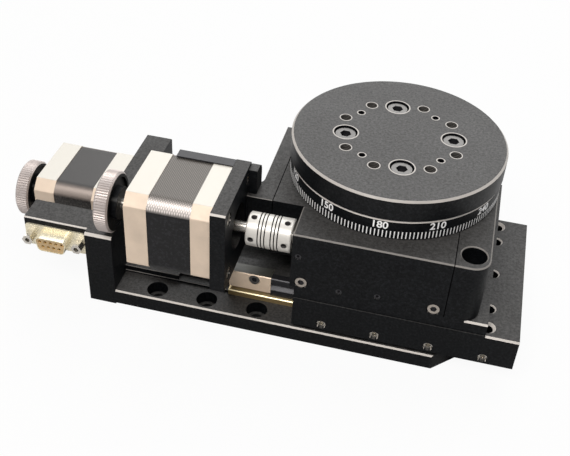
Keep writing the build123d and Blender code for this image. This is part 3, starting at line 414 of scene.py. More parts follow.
def laminated(name, faces, hatch, corner):
    """The side of a laminated stack under a slanting hatch from milling; faces holds its dark tone, painted shade
    on the sides, and its light tone, painted light on the upper face; corner is a painted highlight on the rounded
    corners.
    """
    material, tree = new_material(name)
    surface = shader(tree, 0.25, 0.3)
    coords = object_coords(tree)
    dark, light = faces
    crossed = None
    for turn in (math.radians(38), math.radians(-38)):
        wave = add_node(tree, "ShaderNodeTexWave", wave_type="BANDS", bands_direction="X")
        wave.inputs["Scale"].default_value = 1.0 / hatch / WAVES_PER_SCALE
        wave.inputs["Distortion"].default_value = 0.8
        wave.inputs["Detail"].default_value = 1.0
        link(tree, object_coords(tree, (1, 1, 1), (0.0, 0.0, turn)), wave.inputs["Vector"])
        bands = wave.outputs["Fac"]
        crossed = bands if crossed is None else times(tree, crossed, bands)
    cloud = noise(tree, coords, 900.0, 3.0, 0.7)
    pattern = times(tree, crossed, ramp(tree, cloud, 0.25, 0.75, 0.5, 1.2))
    up = normal_axis(tree, "Z")
    hatch_in_painted_light = mix_colour(tree, ramp(tree, pattern, 0.0, 0.7), tuple(c * 0.35 for c in light), light)
    painted_corner_highlight = mix_colour(tree, ramp(tree, pattern, 0.0, 0.6), tuple(c * 0.5 for c in corner), corner)
    speckled = mix_colour(tree, ramp(tree, cloud, 0.5, 0.7), dark, tuple(c * 4.0 for c in dark))
    # painted shade on the sides, a painted highlight on the rounded corners and painted light on the upper face
    tone = mix_colour(tree, ramp(tree, up, 0.16, 0.42), speckled, painted_corner_highlight)
    tone = mix_colour(tree, ramp(tree, up, 0.80, 0.97), tone, hatch_in_painted_light)
    link(tree, tone, surface.inputs["Base Color"])
    link(tree, ramp(tree, cloud, 0.2, 0.8, 0.36, 0.50), surface.inputs["Roughness"])
    link(tree, bump(tree, pattern, 0.2, 0.00006), surface.inputs["Normal"])
    return material


def plastic(name, colour, roughness=0.5):
    material, tree = new_material(name)
    surface = shader(tree, 0.0, 0.4)
    coords = object_coords(tree)
    grain = noise(tree, coords, 1800.0, 2.0, 0.5)
    cloud = noise(tree, coords, 55.0, 3.0, 0.5)
    tone = mix_colour(tree, ramp(tree, cloud, 0.3, 0.7), colour, tuple(min(1.0, c * 1.4) for c in colour))
    link(tree, tone, surface.inputs["Base Color"])
    link(tree, ramp(tree, grain, 0.2, 0.8, roughness - 0.06, roughness + 0.06), surface.inputs["Roughness"])
    link(tree, bump(tree, grain, 0.2, 0.00005), surface.inputs["Normal"])
    return material


MATERIALS = {}


def make_finishes(settings):
    """Every finish of the stage, by the record's slot names and a few of its own."""
    black = tuple(settings.anodising)
    # colour of the painted highlights on the anodised pieces
    edge = tuple(settings.bevel_highlight)
    # colour of the painted sheen on upward faces
    sheen_colour = tuple(settings.upward_sheen)
    along = (0.12, 1.0, 1.0)
    MATERIALS.update({
        "black_anodised": anodised("Black Anodised", black, edge, top=sheen_colour),
        "housing": anodised("Black Anodised Housing", black, edge, 0.28, top=sheen_colour, seams=HOUSING_SEAMS),
        "base": anodised("Black Anodised Base", black, edge, top=sheen_colour, arrises=BASE_ARRISES),
        "dial": anodised("Black Anodised Dial", black, edge, band=DIAL_LINE),
        "table": anodised("Black Anodised Table", black, edge, 0.60, roughness=0.40, specular=0.18, top=sheen_colour,
                          turned=True),
        # upward faces painted lighter: painted light
        "cast_aluminium": bare_metal("Cast Aluminium", (0.70, 0.57, 0.45), 0.45, 0.10, 900.0,
                                     bump_height=0.00006, top=(0.56, 0.54, 0.49)),
        "bare_aluminium": bare_metal("Blasted Aluminium", (0.66, 0.64, 0.60), 0.34, 0.2, 1600.0),
        "knob_aluminium": bare_metal("Turned Knob", (0.46, 0.41, 0.39), 0.36, 0.6, 1000.0),
        "knob_face": anodised("Knob Face", tuple(c * 0.8 for c in black), (0.05, 0.05, 0.05), specular=0.15),
        # the stacks' dark side tones are painted shade, their light upper tones painted light and their corner
        # colours painted highlights
        "lamination": laminated("Milled Stack", ((0.006, 0.006, 0.007), (0.17, 0.155, 0.14)), 0.0009,
                                (0.85, 0.78, 0.74)),
        "smooth_stack": laminated("Ground Stack", ((0.03, 0.028, 0.027), (0.075, 0.072, 0.07)), 0.0003,
                                  (0.45, 0.38, 0.34)),
        "bright_steel": bare_metal("Ground Steel", (0.66, 0.63, 0.58), 0.26, 0.95, 900.0, along),
        "black_steel": bare_metal("Black Oxide Steel", (0.06, 0.06, 0.066), 0.30, 0.7, 1200.0),
        # lighter finishes for the screw heads' outer faces: painted highlights against the painted shade of their
        # sockets
        "oxide_head_highlight": bare_metal("Oxide Head Highlight", (0.13, 0.125, 0.12), 0.36, 0.5, 1200.0),
        "steel_head_highlight": bare_metal("Steel Head Highlight", (0.42, 0.38, 0.34), 0.34, 0.6, 1200.0),
        "slit": plastic("Slit Shadow", (0.03, 0.028, 0.028), 0.7),
        "rail_steel": bare_metal("Blackened Rail", (0.030, 0.030, 0.034), 0.38, 0.5, 1000.0, along),
        # the ground block's upward faces painted dark: painted shade
        "ground_steel": bare_metal("Ground Block", (0.95, 0.76, 0.58), 0.40, 0.20, 900.0, along,
                                   top=(0.055, 0.055, 0.045)),
        "bearing_steel": bare_metal("Bearing Steel", (0.72, 0.72, 0.72), 0.2, 1.0, 1200.0),
        "bronze": bare_metal("Bronze", (0.58, 0.40, 0.20), 0.34, 0.9, 900.0),
        # brass with painted light on upward faces and a painted highlight on its chamfers
        "brass": bare_metal("Brass", (0.36, 0.26, 0.12), 0.36, 0.5, 900.0, along, top=(0.50, 0.40, 0.22),
                            edge=(0.95, 0.84, 0.55)),
        "connector_metal": bare_metal("Plated Connector", (0.95, 0.88, 0.68), 0.26, 0.55, 1100.0),
        "gold_contact": bare_metal("Gold Contact", (0.86, 0.66, 0.30), 0.2, 1.0, 1300.0),
        "insulator": plastic("Connector Insulator", (0.42, 0.30, 0.16)),
        "black_plastic": plastic("Black Plastic", (0.016, 0.016, 0.018)),
        "marks": plastic("Dial Print", tuple(settings.marks), 0.55),
    })


OWN_FINISH = {
    "base_plate": "base", "dial_ring": "dial",
    "rotary_body": "housing", "rotary_end_block": "housing", "rotary_side_flange": "housing",
    "table_disc": "table", "connector_insert": "insulator",
    "linear_motor_stack": "smooth_stack",
}


def record_slots():
    return {s["node"]: s["material_slot"] for s in frame["record"]["subparts"]}


# ---------- geometry helpers
def put(name, data):
    """A new object in the scene."""
    item = bpy.data.objects.new(name, data)
    bpy.context.scene.collection.objects.link(item)
    return item


def evaluated_mesh(item):
    """A plain mesh of an object with its modifiers or its curve worked out."""
    graph = bpy.context.evaluated_depsgraph_get()
    return bpy.data.meshes.new_from_object(item.evaluated_get(graph), depsgraph=graph)


def new_piece(name, mesh, body, slot, *finishes):
    """Puts a mesh with its finishes in the scene as a piece that rides on a body."""
    piece = put(name, mesh)
    mesh.materials.clear()
    for finish in finishes:
        mesh.materials.append(MATERIALS[finish])
    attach(piece, body)
    return piece


def ring_faces(rings):
    """Quads between rings of equal length, each ring closed on itself."""
    faces = []
    count = len(rings[0])
    for low, high in zip(rings, rings[1:]):
        for j in range(count):
            k = (j + 1) % count
            faces.append((low[j], low[k], high[k], high[j]))
    return faces


def lathe(verts, faces, profile, segments, place):
    """Turns a profile of (along, radius) about an axis; place maps (along, radius, angle) to a point."""
    rings = []
    for along, radius in profile:
        start = len(verts)
        for j in range(segments):
            verts.append(place(along, radius, 2 * math.pi * j / segments))
        rings.append(range(start, start + segments))
    faces.extend(ring_faces(rings))


def about_x(axis_point):
    """Places (x, radius, angle) about an axis along X; the angle runs from +Y to +Z."""
    def place(along, radius, angle):
        return (along, axis_point.y + radius * math.cos(angle), axis_point.z + radius * math.sin(angle))
    return place


def solid_mesh(name, verts, faces, smooth_angle=30.0):
    """A mesh with outward faces, smooth but for edges sharper than smooth_angle."""
    mesh = bpy.data.meshes.new(name)
    mesh.from_pydata(verts, [], faces)
    tidy = bmesh.new()
    tidy.from_mesh(mesh)
    bmesh.ops.recalc_face_normals(tidy, faces=tidy.faces)
    limit = math.radians(smooth_angle)
    for face in tidy.faces:
        face.smooth = True
    for edge in tidy.edges:
        edge.smooth = edge.is_manifold and edge.calc_face_angle(0.0) < limit
    tidy.to_mesh(mesh)
    tidy.free()
    return mesh


def joined(name, meshes):
    """One mesh from several."""
    whole = bmesh.new()
    for mesh in meshes:
        whole.from_mesh(mesh)
    result = bpy.data.meshes.new(name)
    whole.to_mesh(result)
    whole.free()
    return result


def group_tree(name, inputs):
    """An empty geometry tree with named inputs; returns it, its input node and the sockets' identifiers."""
    tree = bpy.data.node_groups.new(name, "GeometryNodeTree")
    tree.interface.new_socket("Geometry", in_out="OUTPUT", socket_type="NodeSocketGeometry")
    names = {}
    for label, kind in inputs:
        names[label] = tree.interface.new_socket(label, in_out="INPUT", socket_type=kind).identifier
    return tree, add_node(tree, "NodeGroupInput"), names


def end_tree(tree, group_input, instances, material="Material"):
    """Realize Instances and Set Material, then the output."""
    realize = add_node(tree, "GeometryNodeRealizeInstances")
    finish = add_node(tree, "GeometryNodeSetMaterial")
    output = add_node(tree, "NodeGroupOutput")
    link(tree, instances, realize.inputs["Geometry"])
    link(tree, realize.outputs["Geometry"], finish.inputs["Geometry"])
    link(tree, group_input.outputs[material], finish.inputs["Material"])
    link(tree, finish.outputs["Geometry"], output.inputs["Geometry"])


def bar_ring_tree():
    """Bars set evenly around a ring, then turned and moved into place."""
    tree, given, names = group_tree("Bar Ring", (
        ("Count", "NodeSocketInt"), ("Radius", "NodeSocketFloat"), ("Bar Size", "NodeSocketVector"),
        ("Bar Turn", "NodeSocketVector"), ("Centre", "NodeSocketVector"), ("Ring Turn", "NodeSocketVector"),
        ("Material", "NodeSocketMaterial")))
    circle = add_node(tree, "GeometryNodeMeshCircle")
    link(tree, given.outputs["Count"], circle.inputs["Vertices"])
    link(tree, given.outputs["Radius"], circle.inputs["Radius"])
    bar = add_node(tree, "GeometryNodeMeshCube")
    link(tree, given.outputs["Bar Size"], bar.inputs["Size"])
    leaned = add_node(tree, "GeometryNodeTransform")
    link(tree, bar.outputs["Mesh"], leaned.inputs["Geometry"])
    link(tree, given.outputs["Bar Turn"], leaned.inputs["Rotation"])
    index = add_node(tree, "GeometryNodeInputIndex")
    step = maths(tree, "DIVIDE", 2 * math.pi, given.outputs["Count"])
    angle = times(tree, index.outputs["Index"], step)
    turn = add_node(tree, "ShaderNodeCombineXYZ")
    link(tree, angle, turn.inputs["Z"])
    spread = add_node(tree, "GeometryNodeInstanceOnPoints")
    link(tree, circle.outputs["Mesh"], spread.inputs["Points"])
    link(tree, leaned.outputs["Geometry"], spread.inputs["Instance"])
    link(tree, turn.outputs["Vector"], spread.inputs["Rotation"])
    placed = add_node(tree, "GeometryNodeTransform")
    link(tree, spread.outputs["Instances"], placed.inputs["Geometry"])
    link(tree, given.outputs["Ring Turn"], placed.inputs["Rotation"])
    link(tree, given.outputs["Centre"], placed.inputs["Translation"])
    end_tree(tree, given, placed.outputs["Geometry"])
    return tree, names


def square_scatter_tree():
    """One part on the four corners of a square that stands across X."""
    tree, given, names = group_tree("Square Scatter", (
        ("Part", "NodeSocketObject"), ("Spacing", "NodeSocketFloat"), ("Centre", "NodeSocketVector"),
        ("Material", "NodeSocketMaterial")))
    grid = add_node(tree, "GeometryNodeMeshGrid")
    for size in ("Size X", "Size Y"):
        link(tree, given.outputs["Spacing"], grid.inputs[size])
    for count in ("Vertices X", "Vertices Y"):
        grid.inputs[count].default_value = 2
    part = add_node(tree, "GeometryNodeObjectInfo")
    link(tree, given.outputs["Part"], part.inputs["Object"])
    spread = add_node(tree, "GeometryNodeInstanceOnPoints")
    link(tree, grid.outputs["Mesh"], spread.inputs["Points"])
    link(tree, part.outputs["Geometry"], spread.inputs["Instance"])
    placed = add_node(tree, "GeometryNodeTransform")
    placed.inputs["Rotation"].default_value = (0.0, math.radians(-90), 0.0)
    link(tree, spread.outputs["Instances"], placed.inputs["Geometry"])
    link(tree, given.outputs["Centre"], placed.inputs["Translation"])
    end_tree(tree, given, placed.outputs["Geometry"])
    return tree, names


def bake(name, tree, names, values, body):
    """Evaluates a tree once and keeps the result as a plain mesh on a body."""
    carrier = put(name, bpy.data.meshes.new(name + "_start"))
    modifier = carrier.modifiers.new("Nodes", "NODES")
    modifier.node_group = tree
    for label, value in values.items():
        modifier[names[label]] = value
    mesh = evaluated_mesh(carrier)
    carrier.modifiers.clear()
    carrier.data = mesh
    if not mesh.vertices:
        raise RuntimeError(name + " came out empty")
    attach(carrier, body)
    return carrier


# ---------- coupling
COUPLING_ENDS = (-0.0584, -0.0374)
COUPLING_R = 0.00795
COUPLING_BORE_R = 0.0030
COUPLING_SLIT_R = 0.0044
COUPLING_SEGMENTS = 96
CUT_STARTS = (-0.0537, -0.0477)        # where each group of cuts begins, along X
HUB_LENGTH = 4.2 * MM
HUB_BEVEL = 0.5 * MM
SET_SCREW_PLACES = (-0.0557, -0.0403)  # of each hub's pair, along X
SET_SCREW_ANGLES = (100, 182)          # degrees about the worm's axis, from +Y to +Z
SET_SCREW_DEPTH = 2.2 * MM
HOLE_SEGMENTS = 24


def cut_ring(settings):
    """The middle of the coupling, with two groups of helical cuts through its wall."""
    left, right = COUPLING_ENDS[0] + HUB_LENGTH, COUPLING_ENDS[1] - HUB_LENGTH
    half = settings.cut_width / 2
    place = about_x(WORM_AXIS)
    verts, rows = [], []
    for j in range(COUPLING_SEGMENTS + 1):
        angle = 2 * math.pi * j / COUPLING_SEGMENTS - math.pi / 2
        shift = settings.cut_pitch * j / COUPLING_SEGMENTS
        profile = [(left, COUPLING_SLIT_R), (left, COUPLING_R)]
        for start in CUT_STARTS:
            for turn in range(settings.cut_turns):
                middle = start + settings.cut_pitch * turn + shift
                profile += [(middle - half, COUPLING_R), (middle - half, COUPLING_SLIT_R),
                            (middle + half, COUPLING_SLIT_R), (middle + half, COUPLING_R)]
        profile += [(right, COUPLING_R), (right, COUPLING_SLIT_R)]
        rows.append(range(len(verts), len(verts) + len(profile)))
        verts += [place(along, radius, angle) for along, radius in profile]
    faces = []
    for low, high in zip(rows, rows[1:]):
        for k in range(len(low) - 1):
            faces.append((low[k], high[k], high[k + 1], low[k + 1]))
    return verts, faces


def hub_profile(left, right, bevel_left):
    """A hub's outline as (along, radius), closed round its bore and bevelled at its outer end."""
    if bevel_left:
        rim = [(left, COUPLING_R - HUB_BEVEL), (left + HUB_BEVEL, COUPLING_R), (right, COUPLING_R)]
    else:
        rim = [(left, COUPLING_R), (right - HUB_BEVEL, COUPLING_R), (right, COUPLING_R - HUB_BEVEL)]
    return [(left, COUPLING_BORE_R), *rim, (right, COUPLING_BORE_R), (left, COUPLING_BORE_R)]


def screw_hole_cutter(name, hole_x, angle, radius):
    """A short rod where a set screw hole goes in from the coupling's side."""
    outward = Vector((0.0, math.cos(angle), math.sin(angle)))
    across = Vector((0.0, -math.sin(angle), math.cos(angle)))
    middle = Vector((hole_x, WORM_AXIS.y, WORM_AXIS.z))
    verts = []
    for depth in (COUPLING_R - SET_SCREW_DEPTH, COUPLING_R + 1.0 * MM):
        for j in range(HOLE_SEGMENTS):
            turn = 2 * math.pi * j / HOLE_SEGMENTS
            point = middle + outward * depth
            point += Vector((math.cos(turn), 0.0, 0.0)) * radius
            point += across * math.sin(turn) * radius
            verts.append(tuple(point))
    inner, outer = range(HOLE_SEGMENTS), range(HOLE_SEGMENTS, 2 * HOLE_SEGMENTS)
    faces = ring_faces([inner, outer])
    faces += [tuple(inner), tuple(outer)]
    return put(name, solid_mesh(name, verts, faces))


def hub(name, left, right, hole_x, bevel_left, settings):
    """One clamping end of the coupling, with two set screw holes nearly at right angles."""
    verts, faces = [], []
    lathe(verts, faces, hub_profile(left, right, bevel_left), COUPLING_SEGMENTS, about_x(WORM_AXIS))
    mesh = solid_mesh(name, verts, faces)
    tidy = bmesh.new()
    tidy.from_mesh(mesh)
    bmesh.ops.remove_doubles(tidy, verts=tidy.verts, dist=1e-7)
    tidy.to_mesh(mesh)
    tidy.free()
    body = put(name, mesh)
    cutters = []
    for degrees in SET_SCREW_ANGLES:
        cutter = screw_hole_cutter(name + "_cutter", hole_x, math.radians(degrees), settings.screw_radius)
        cut = body.modifiers.new("Hole", "BOOLEAN")
        cut.operation = "DIFFERENCE"
        cut.solver = "EXACT"
        cut.object = cutter
        cutters.append(cutter)
    drilled = evaluated_mesh(body)
    for item in cutters + [body]:
        bpy.data.objects.remove(item)
    return drilled


class STAGE_OT_coupling(bpy.types.Operator):
    """Helical-cut shaft coupling with its set screw holes"""

    bl_idname = "rotation_stage.coupling"
    bl_label = "Helical Coupling"

    def execute(self, context):
        settings = context.scene.stage_coupling
        left, right = COUPLING_ENDS
        left_screws, right_screws = SET_SCREW_PLACES
        mesh = joined("helical_coupling", (
            solid_mesh("coupling_cuts", *cut_ring(settings)),
            hub("hub_left", left, left + HUB_LENGTH, left_screws, True, settings),
            hub("hub_right", right - HUB_LENGTH, right, right_screws, False, settings)))
        piece = new_piece("helical_coupling", mesh, "worm_shaft", "bare_aluminium", "bare_aluminium",
                          "slit")
        # the cut walls, the bore and the set screw holes take the dark slit finish as painted shade
        for polygon in mesh.polygons:
            centre = polygon.center
            reach = math.hypot(centre.y - WORM_AXIS.y, centre.z - WORM_AXIS.z)
            inside = left + 0.3 * MM < centre.x < right - 0.3 * MM and reach < COUPLING_R - 0.08 * MM
            polygon.material_index = 1 if inside else 0
        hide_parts("beam_coupling")
        return {"FINISHED"}


# ---------- dial
DIAL_R = 0.0503
DIAL_BOTTOM = 0.0662
TICK_FOOT = 0.2 * MM                   # from the dial's lower edge up to its divisions
TICK_BLOCK = 0.1 * MM                  # thickness of a division, most of it sunk in the dial
CAP_HEIGHT = 0.71                      # of a numeral, as a share of the font's size
PRINT_THICKNESS = 0.03 * MM
PRINT_BOLDNESS = 0.11 * MM


def bent_text(text, angle, size, level):
    """Numerals bent round the dial, reading from outside."""
    curve = bpy.data.curves.new("numeral", "FONT")
    curve.body = text
    curve.size = size / CAP_HEIGHT
    curve.align_x = "CENTER"
    curve.align_y = "CENTER"
    curve.extrude = PRINT_THICKNESS
    curve.offset = PRINT_BOLDNESS
    flat = put("numeral", curve)
    mesh = evaluated_mesh(flat)
    bpy.data.objects.remove(flat)
    for vertex in mesh.vertices:
        across, up, out = vertex.co
        turn = angle + across / DIAL_R
        radius = DIAL_R + out + PRINT_THICKNESS
        vertex.co = (radius * math.sin(turn), -radius * math.cos(turn), level + up)
    return mesh


class STAGE_OT_dial(bpy.types.Operator):
    """Printed divisions and numerals around the dial"""

    bl_idname = "rotation_stage.dial"
    bl_label = "Dial"

    def execute(self, context):
        settings = context.scene.stage_dial
        tree, names = bar_ring_tree()
        height = settings.tick_height
        bake("dial_ticks", tree, names, {
            "Count": settings.tick_count, "Radius": DIAL_R - 0.02 * MM,
            "Bar Size": (TICK_BLOCK, settings.tick_width, height), "Bar Turn": (0.0, 0.0, 0.0),
            "Centre": (0.0, 0.0, DIAL_BOTTOM + TICK_FOOT + height / 2),
            "Ring Turn": (0.0, 0.0, math.radians(-90)), "Material": MATERIALS["marks"]},
            "table")
        numerals = []
        for degree in range(0, 360, settings.numeral_step):
            numerals.append(bent_text(str((180 + degree) % 360), math.radians(degree),
                                      settings.numeral_height, settings.numeral_centre))
        new_piece("dial_numerals", joined("dial_numerals", numerals), "table", "bare_aluminium", "marks")
        return {"FINISHED"}


# ---------- knobs
KNURL_WIDTH = 5.5 * MM
KNURL_MIDDLE = 3.5 * MM                # from a knob's left face
RIM_DEPTH = 0.8 * MM                   # of the ring round a knob that stays bright


def darken_faces(mesh, axis, radius):
    """Gives a knob's two faces and its recess the dark finish and leaves its rim bright."""
    mesh.materials.append(MATERIALS["knob_face"])
    for polygon in mesh.polygons:
        points = [mesh.vertices[i].co for i in polygon.vertices]
        reach = max(math.hypot(point.y - axis.y, point.z - axis.z) for point in points)
        rim = reach > radius - RIM_DEPTH and abs(polygon.normal.x) < 0.9
        polygon.material_index = 0 if rim else 1


class STAGE_OT_knobs(bpy.types.Operator):
    """Straight knurl around both hand knobs, and their dark faces"""

    bl_idname = "rotation_stage.knobs"
    bl_label = "Knob Knurls"

    def execute(self, context):
        settings = context.scene.stage_knobs
        tree, names = bar_ring_tree()
        for node, body, axis in (("worm_motor_knob", "worm_shaft", WORM_AXIS),
                                 ("linear_motor_knob", "lead_screw", SCREW_AXIS)):
            low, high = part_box(node)
            radius = (high[2] - low[2]) / 2
            size = settings.ridge_size
            bake(node + "_knurl", tree, names, {
                "Count": settings.ridges, "Radius": radius - 0.1 * MM, "Bar Size": (size, size, KNURL_WIDTH),
                "Bar Turn": (0.0, 0.0, math.radians(45)),
                "Centre": (low[0] + KNURL_MIDDLE, axis.y, axis.z),
                "Ring Turn": (0.0, math.radians(90), 0.0), "Material": MATERIALS["knob_aluminium"]},
                body)
            darken_faces(NODES[node].data, axis, radius)
        return {"FINISHED"}


# ---------- screws
SCREW_SEGMENTS = 32
JOURNAL_R = 2.5 * MM
COLLAR_R = 3.6 * MM
JOURNAL_END = 21.4 * MM                # this and the shoulder are measured from the screw's left end
SHOULDER = 27.4 * MM
MOTOR_SCREW_SPACING = 31.0 * MM


def thread_rows(start, end, lead, crest, root):
    """A right-hand thread as one helical strip; its ragged ends go under the turned ends of the screw."""
    segments = SCREW_SEGMENTS
    place = about_x(SCREW_AXIS)
    turns = int((end - start) / lead)
    steps = ((0.0, root), (0.3, crest), (0.5, crest), (0.8, root))
    verts = []
    for turn in range(turns + 1):
        for part, radius in steps:
            for j in range(segments):
                along = start + lead * (turn + part + j / segments)
                verts.append(place(along, radius, 2 * math.pi * j / segments))
    faces = []
    count = (turns + 1) * len(steps)
    for r in range(count - 1):
        for j in range(segments):
            if j + 1 < segments:
                faces.append((r * segments + j, r * segments + j + 1, (r + 1) * segments + j + 1,
                              (r + 1) * segments + j))
            elif r + len(steps) + 1 < count:
                low, high = r + len(steps), r + len(steps) + 1
                faces.append((r * segments + j, low * segments, high * segments, (r + 1) * segments + j))
    return verts, faces


class STAGE_OT_lead_screw(bpy.types.Operator):
    """Lead screw with its thread and turned journal"""

    bl_idname = "rotation_stage.lead_screw"
    bl_label = "Lead Screw"

    def execute(self, context):
        settings = context.scene.stage_screws
        low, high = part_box("lead_screw")
        crest = (high[2] - low[2]) / 2
        root = crest - settings.thread_depth
        core = root - 0.2 * MM
        start, end = low[0], high[0]
        shoulder = start + SHOULDER
        thread_end = end - 2.6 * settings.lead
        tail = end - 1.9 * settings.lead
        verts, faces = thread_rows(shoulder + 0.5 * MM, thread_end, settings.lead, crest, root)
        ends, end_faces = [], []
        journal = [(start, 0.0), (start, JOURNAL_R - 0.3 * MM), (start + 0.3 * MM, JOURNAL_R),
                   (start + JOURNAL_END, JOURNAL_R), (start + JOURNAL_END, COLLAR_R), (shoulder, COLLAR_R),
                   (shoulder, crest), (shoulder + 3.4 * MM, crest), (shoulder + 3.6 * MM, root),
                   (shoulder + 4.0 * MM, core)]
        blunt_end = [(tail, core), (tail, crest - 0.1 * MM), (end - 0.6 * MM, crest - 0.1 * MM),
                     (end, crest - 0.7 * MM), (end, 0.0)]
        for profile in (journal, blunt_end):
            lathe(ends, end_faces, profile, SCREW_SEGMENTS, about_x(SCREW_AXIS))
        shift = len(verts)
        faces += [tuple(i + shift for i in face) for face in end_faces]
        mesh = solid_mesh("threaded_lead_screw", verts + ends, faces, 20.0)
        piece = new_piece("threaded_lead_screw", mesh, "lead_screw", "bright_steel", "bright_steel")
        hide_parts("lead_screw")
        return {"FINISHED"}


def socket_head(radius):
    """A screw head sunk almost flush, with a hexagonal socket, standing along +Z."""
    segments = 24
    rim = ((-0.2 * MM, radius), (HEAD_PROUD * 0.5, radius), (HEAD_PROUD * 0.9, radius * 0.92),
           (HEAD_PROUD, radius * 0.84))
    verts, rings = [], []

    def add_ring(along, reaches):
        rings.append(range(len(verts), len(verts) + segments))
        for j, reach in enumerate(reaches):
            angle = 2 * math.pi * j / segments
            verts.append((reach * math.cos(angle), reach * math.sin(angle), along))

    for along, reach in rim:
        add_ring(along, [reach] * segments)
    hexagon = []
    for j in range(segments):
        within = (2 * math.pi * j / segments) % (math.pi / 3) - math.pi / 6
        hexagon.append(radius * 0.42 * math.cos(math.pi / 6) / math.cos(within))
    for along in (HEAD_PROUD, HEAD_PROUD * 0.1):
        add_ring(along, hexagon)
    faces = ring_faces(rings)
    faces.append(tuple(reversed(rings[-1])))
    return solid_mesh("socket_head", verts, faces)


class STAGE_OT_motor_screws(bpy.types.Operator):
    """Screws in the corners of the motors' rear caps"""

    bl_idname = "rotation_stage.motor_screws"
    bl_label = "Motor Screws"

    def execute(self, context):
        settings = context.scene.stage_screws
        head = put("socket_head", socket_head(settings.head_radius))
        tree, names = square_scatter_tree()
        for node, body in (("linear_motor_rear_cap", "base"), ("worm_motor_rear_cap", "carriage")):
            low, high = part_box(node)
            centre = (low[0], (low[1] + high[1]) / 2, (low[2] + high[2]) / 2)
            bake(node + "_screws", tree, names, {
                "Part": head, "Spacing": MOTOR_SCREW_SPACING, "Centre": centre,
                "Material": MATERIALS["bright_steel"]}, body)
        bpy.data.objects.remove(head)
        return {"FINISHED"}


# ---------- stage
CAMERA_PLACE = (0.02145, -0.37227, 0.32889)
CAMERA_TURN = (11.15, 39.25, 3.78)     # degrees of azimuth, elevation and roll
CAMERA_LENS = 59.06
FLOOR_REACH = 6.0
FLOOR_LEVEL = -0.2 * MM
FLOOR_WHITE = 0.94                     # share of plain white in the floor; the rest takes the shadow


def camera_matrix():
    """The camera's place and turn from its azimuth, elevation and roll."""
    azimuth, elevation, roll = (math.radians(a) for a in CAMERA_TURN)
    level = math.cos(elevation)
    back = Vector((math.sin(azimuth) * level, -math.cos(azimuth) * level, math.sin(elevation)))
    right = Vector((math.cos(azimuth), math.sin(azimuth), 0.0))
    up = back.cross(right)
    c, s = math.cos(roll), math.sin(roll)
    turned_right = right * c + up * s
    turned_up = up * c - right * s
    rows = Matrix((turned_right, turned_up, back)).transposed().to_4x4()
    return Matrix.Translation(CAMERA_PLACE) @ rows


def area_lamp(name, place, aim, size, power, colour=(1.0, 1.0, 1.0)):
    data = bpy.data.lights.new(name, "AREA")
    data.shape = "RECTANGLE"
    data.size, data.size_y = size
    data.energy = power
    data.color = colour
    lamp = put(name, data)
    lamp.location = place
    lamp.rotation_euler = (Vector(aim) - Vector(place)).to_track_quat("-Z", "Y").to_euler()


def white_behind(tree, shade, keep):
    """Mixes shade with plain white for camera and transmission rays."""
    path = add_node(tree, "ShaderNodeLightPath")
    seen = maths(tree, "MAXIMUM", path.outputs["Is Camera Ray"], path.outputs["Is Transmission Ray"])
    white = add_node(tree, "ShaderNodeEmission")
    white.inputs["Strength"].default_value = 1.0
    blend = add_node(tree, "ShaderNodeMixShader")
    link(tree, times(tree, seen, keep), blend.inputs["Fac"])
    link(tree, shade, blend.inputs[1])
    link(tree, white.outputs["Emission"], blend.inputs[2])
    return blend.outputs["Shader"]


def lay_floor():
    """A wide pale floor just under the part."""
    mesh = bpy.data.meshes.new("studio_floor")
    half = FLOOR_REACH
    corners = [(x, y, FLOOR_LEVEL) for x, y in ((-half, -half), (half, -half), (half, half), (-half, half))]
    mesh.from_pydata(corners, [], [(0, 1, 2, 3)])
    floor = put("studio_floor", mesh)
    material, tree = new_material("Studio Floor")
    diffuse = add_node(tree, "ShaderNodeBsdfDiffuse")
    diffuse.inputs["Color"].default_value = (0.60, 0.60, 0.60, 1.0)
    output = add_node(tree, "ShaderNodeOutputMaterial")
    link(tree, white_behind(tree, diffuse.outputs["BSDF"], FLOOR_WHITE), output.inputs["Surface"])
    mesh.materials.append(material)


def whiten_world():
    """A soft world that camera, glossy and transmission rays see as plain white."""
    world = bpy.data.worlds.new("Studio World")
    bpy.context.scene.world = world
    world.use_nodes = True
    tree = world.node_tree
    tree.nodes.clear()
    path = add_node(tree, "ShaderNodeLightPath")
    mirrored = maths(tree, "MAXIMUM", path.outputs["Is Glossy Ray"], path.outputs["Is Transmission Ray"])
    seen = maths(tree, "MAXIMUM", path.outputs["Is Camera Ray"], mirrored)
    soft = add_node(tree, "ShaderNodeBackground")
    soft.inputs["Color"].default_value = (0.95, 0.97, 1.0, 1.0)
    soft.inputs["Strength"].default_value = 0.22
    white = add_node(tree, "ShaderNodeBackground")
    white.inputs["Color"].default_value = (1.0, 1.0, 1.0, 1.0)
    blend = add_node(tree, "ShaderNodeMixShader")
    link(tree, seen, blend.inputs["Fac"])
    link(tree, soft.outputs["Background"], blend.inputs[1])
    link(tree, white.outputs["Background"], blend.inputs[2])
    output = add_node(tree, "ShaderNodeOutputWorld")
    link(tree, blend.outputs["Shader"], output.inputs["Surface"])


def set_camera():
    """The camera that the stage is seen from."""
    data = bpy.data.cameras.new("stage_camera")
    data.sensor_width = 36.0
    data.lens = CAMERA_LENS
    data.clip_start = 0.01
    camera = put("stage_camera", data)
    camera.matrix_world = camera_matrix()
    bpy.context.scene.camera = camera


class STAGE_OT_studio(bpy.types.Operator):
    """Pale floor, soft lamps, white world and the camera"""

    bl_idname = "rotation_stage.studio"
    bl_label = "Studio"

    def execute(self, context):
        context.scene.view_settings.view_transform = "Standard"
        lay_floor()
        whiten_world()
        area_lamp("overhead_softbox", (0.05, 0.60, 0.80), (0.0, 0.0, 0.06), (1.4, 0.9), 11.0)
        area_lamp("front_softbox", (-0.15, -0.62, 0.90), (-0.03, 0.0, 0.05), (0.55, 0.30), 9.0,
                  (1.0, 0.96, 0.92))
        set_camera()
        return {"FINISHED"}


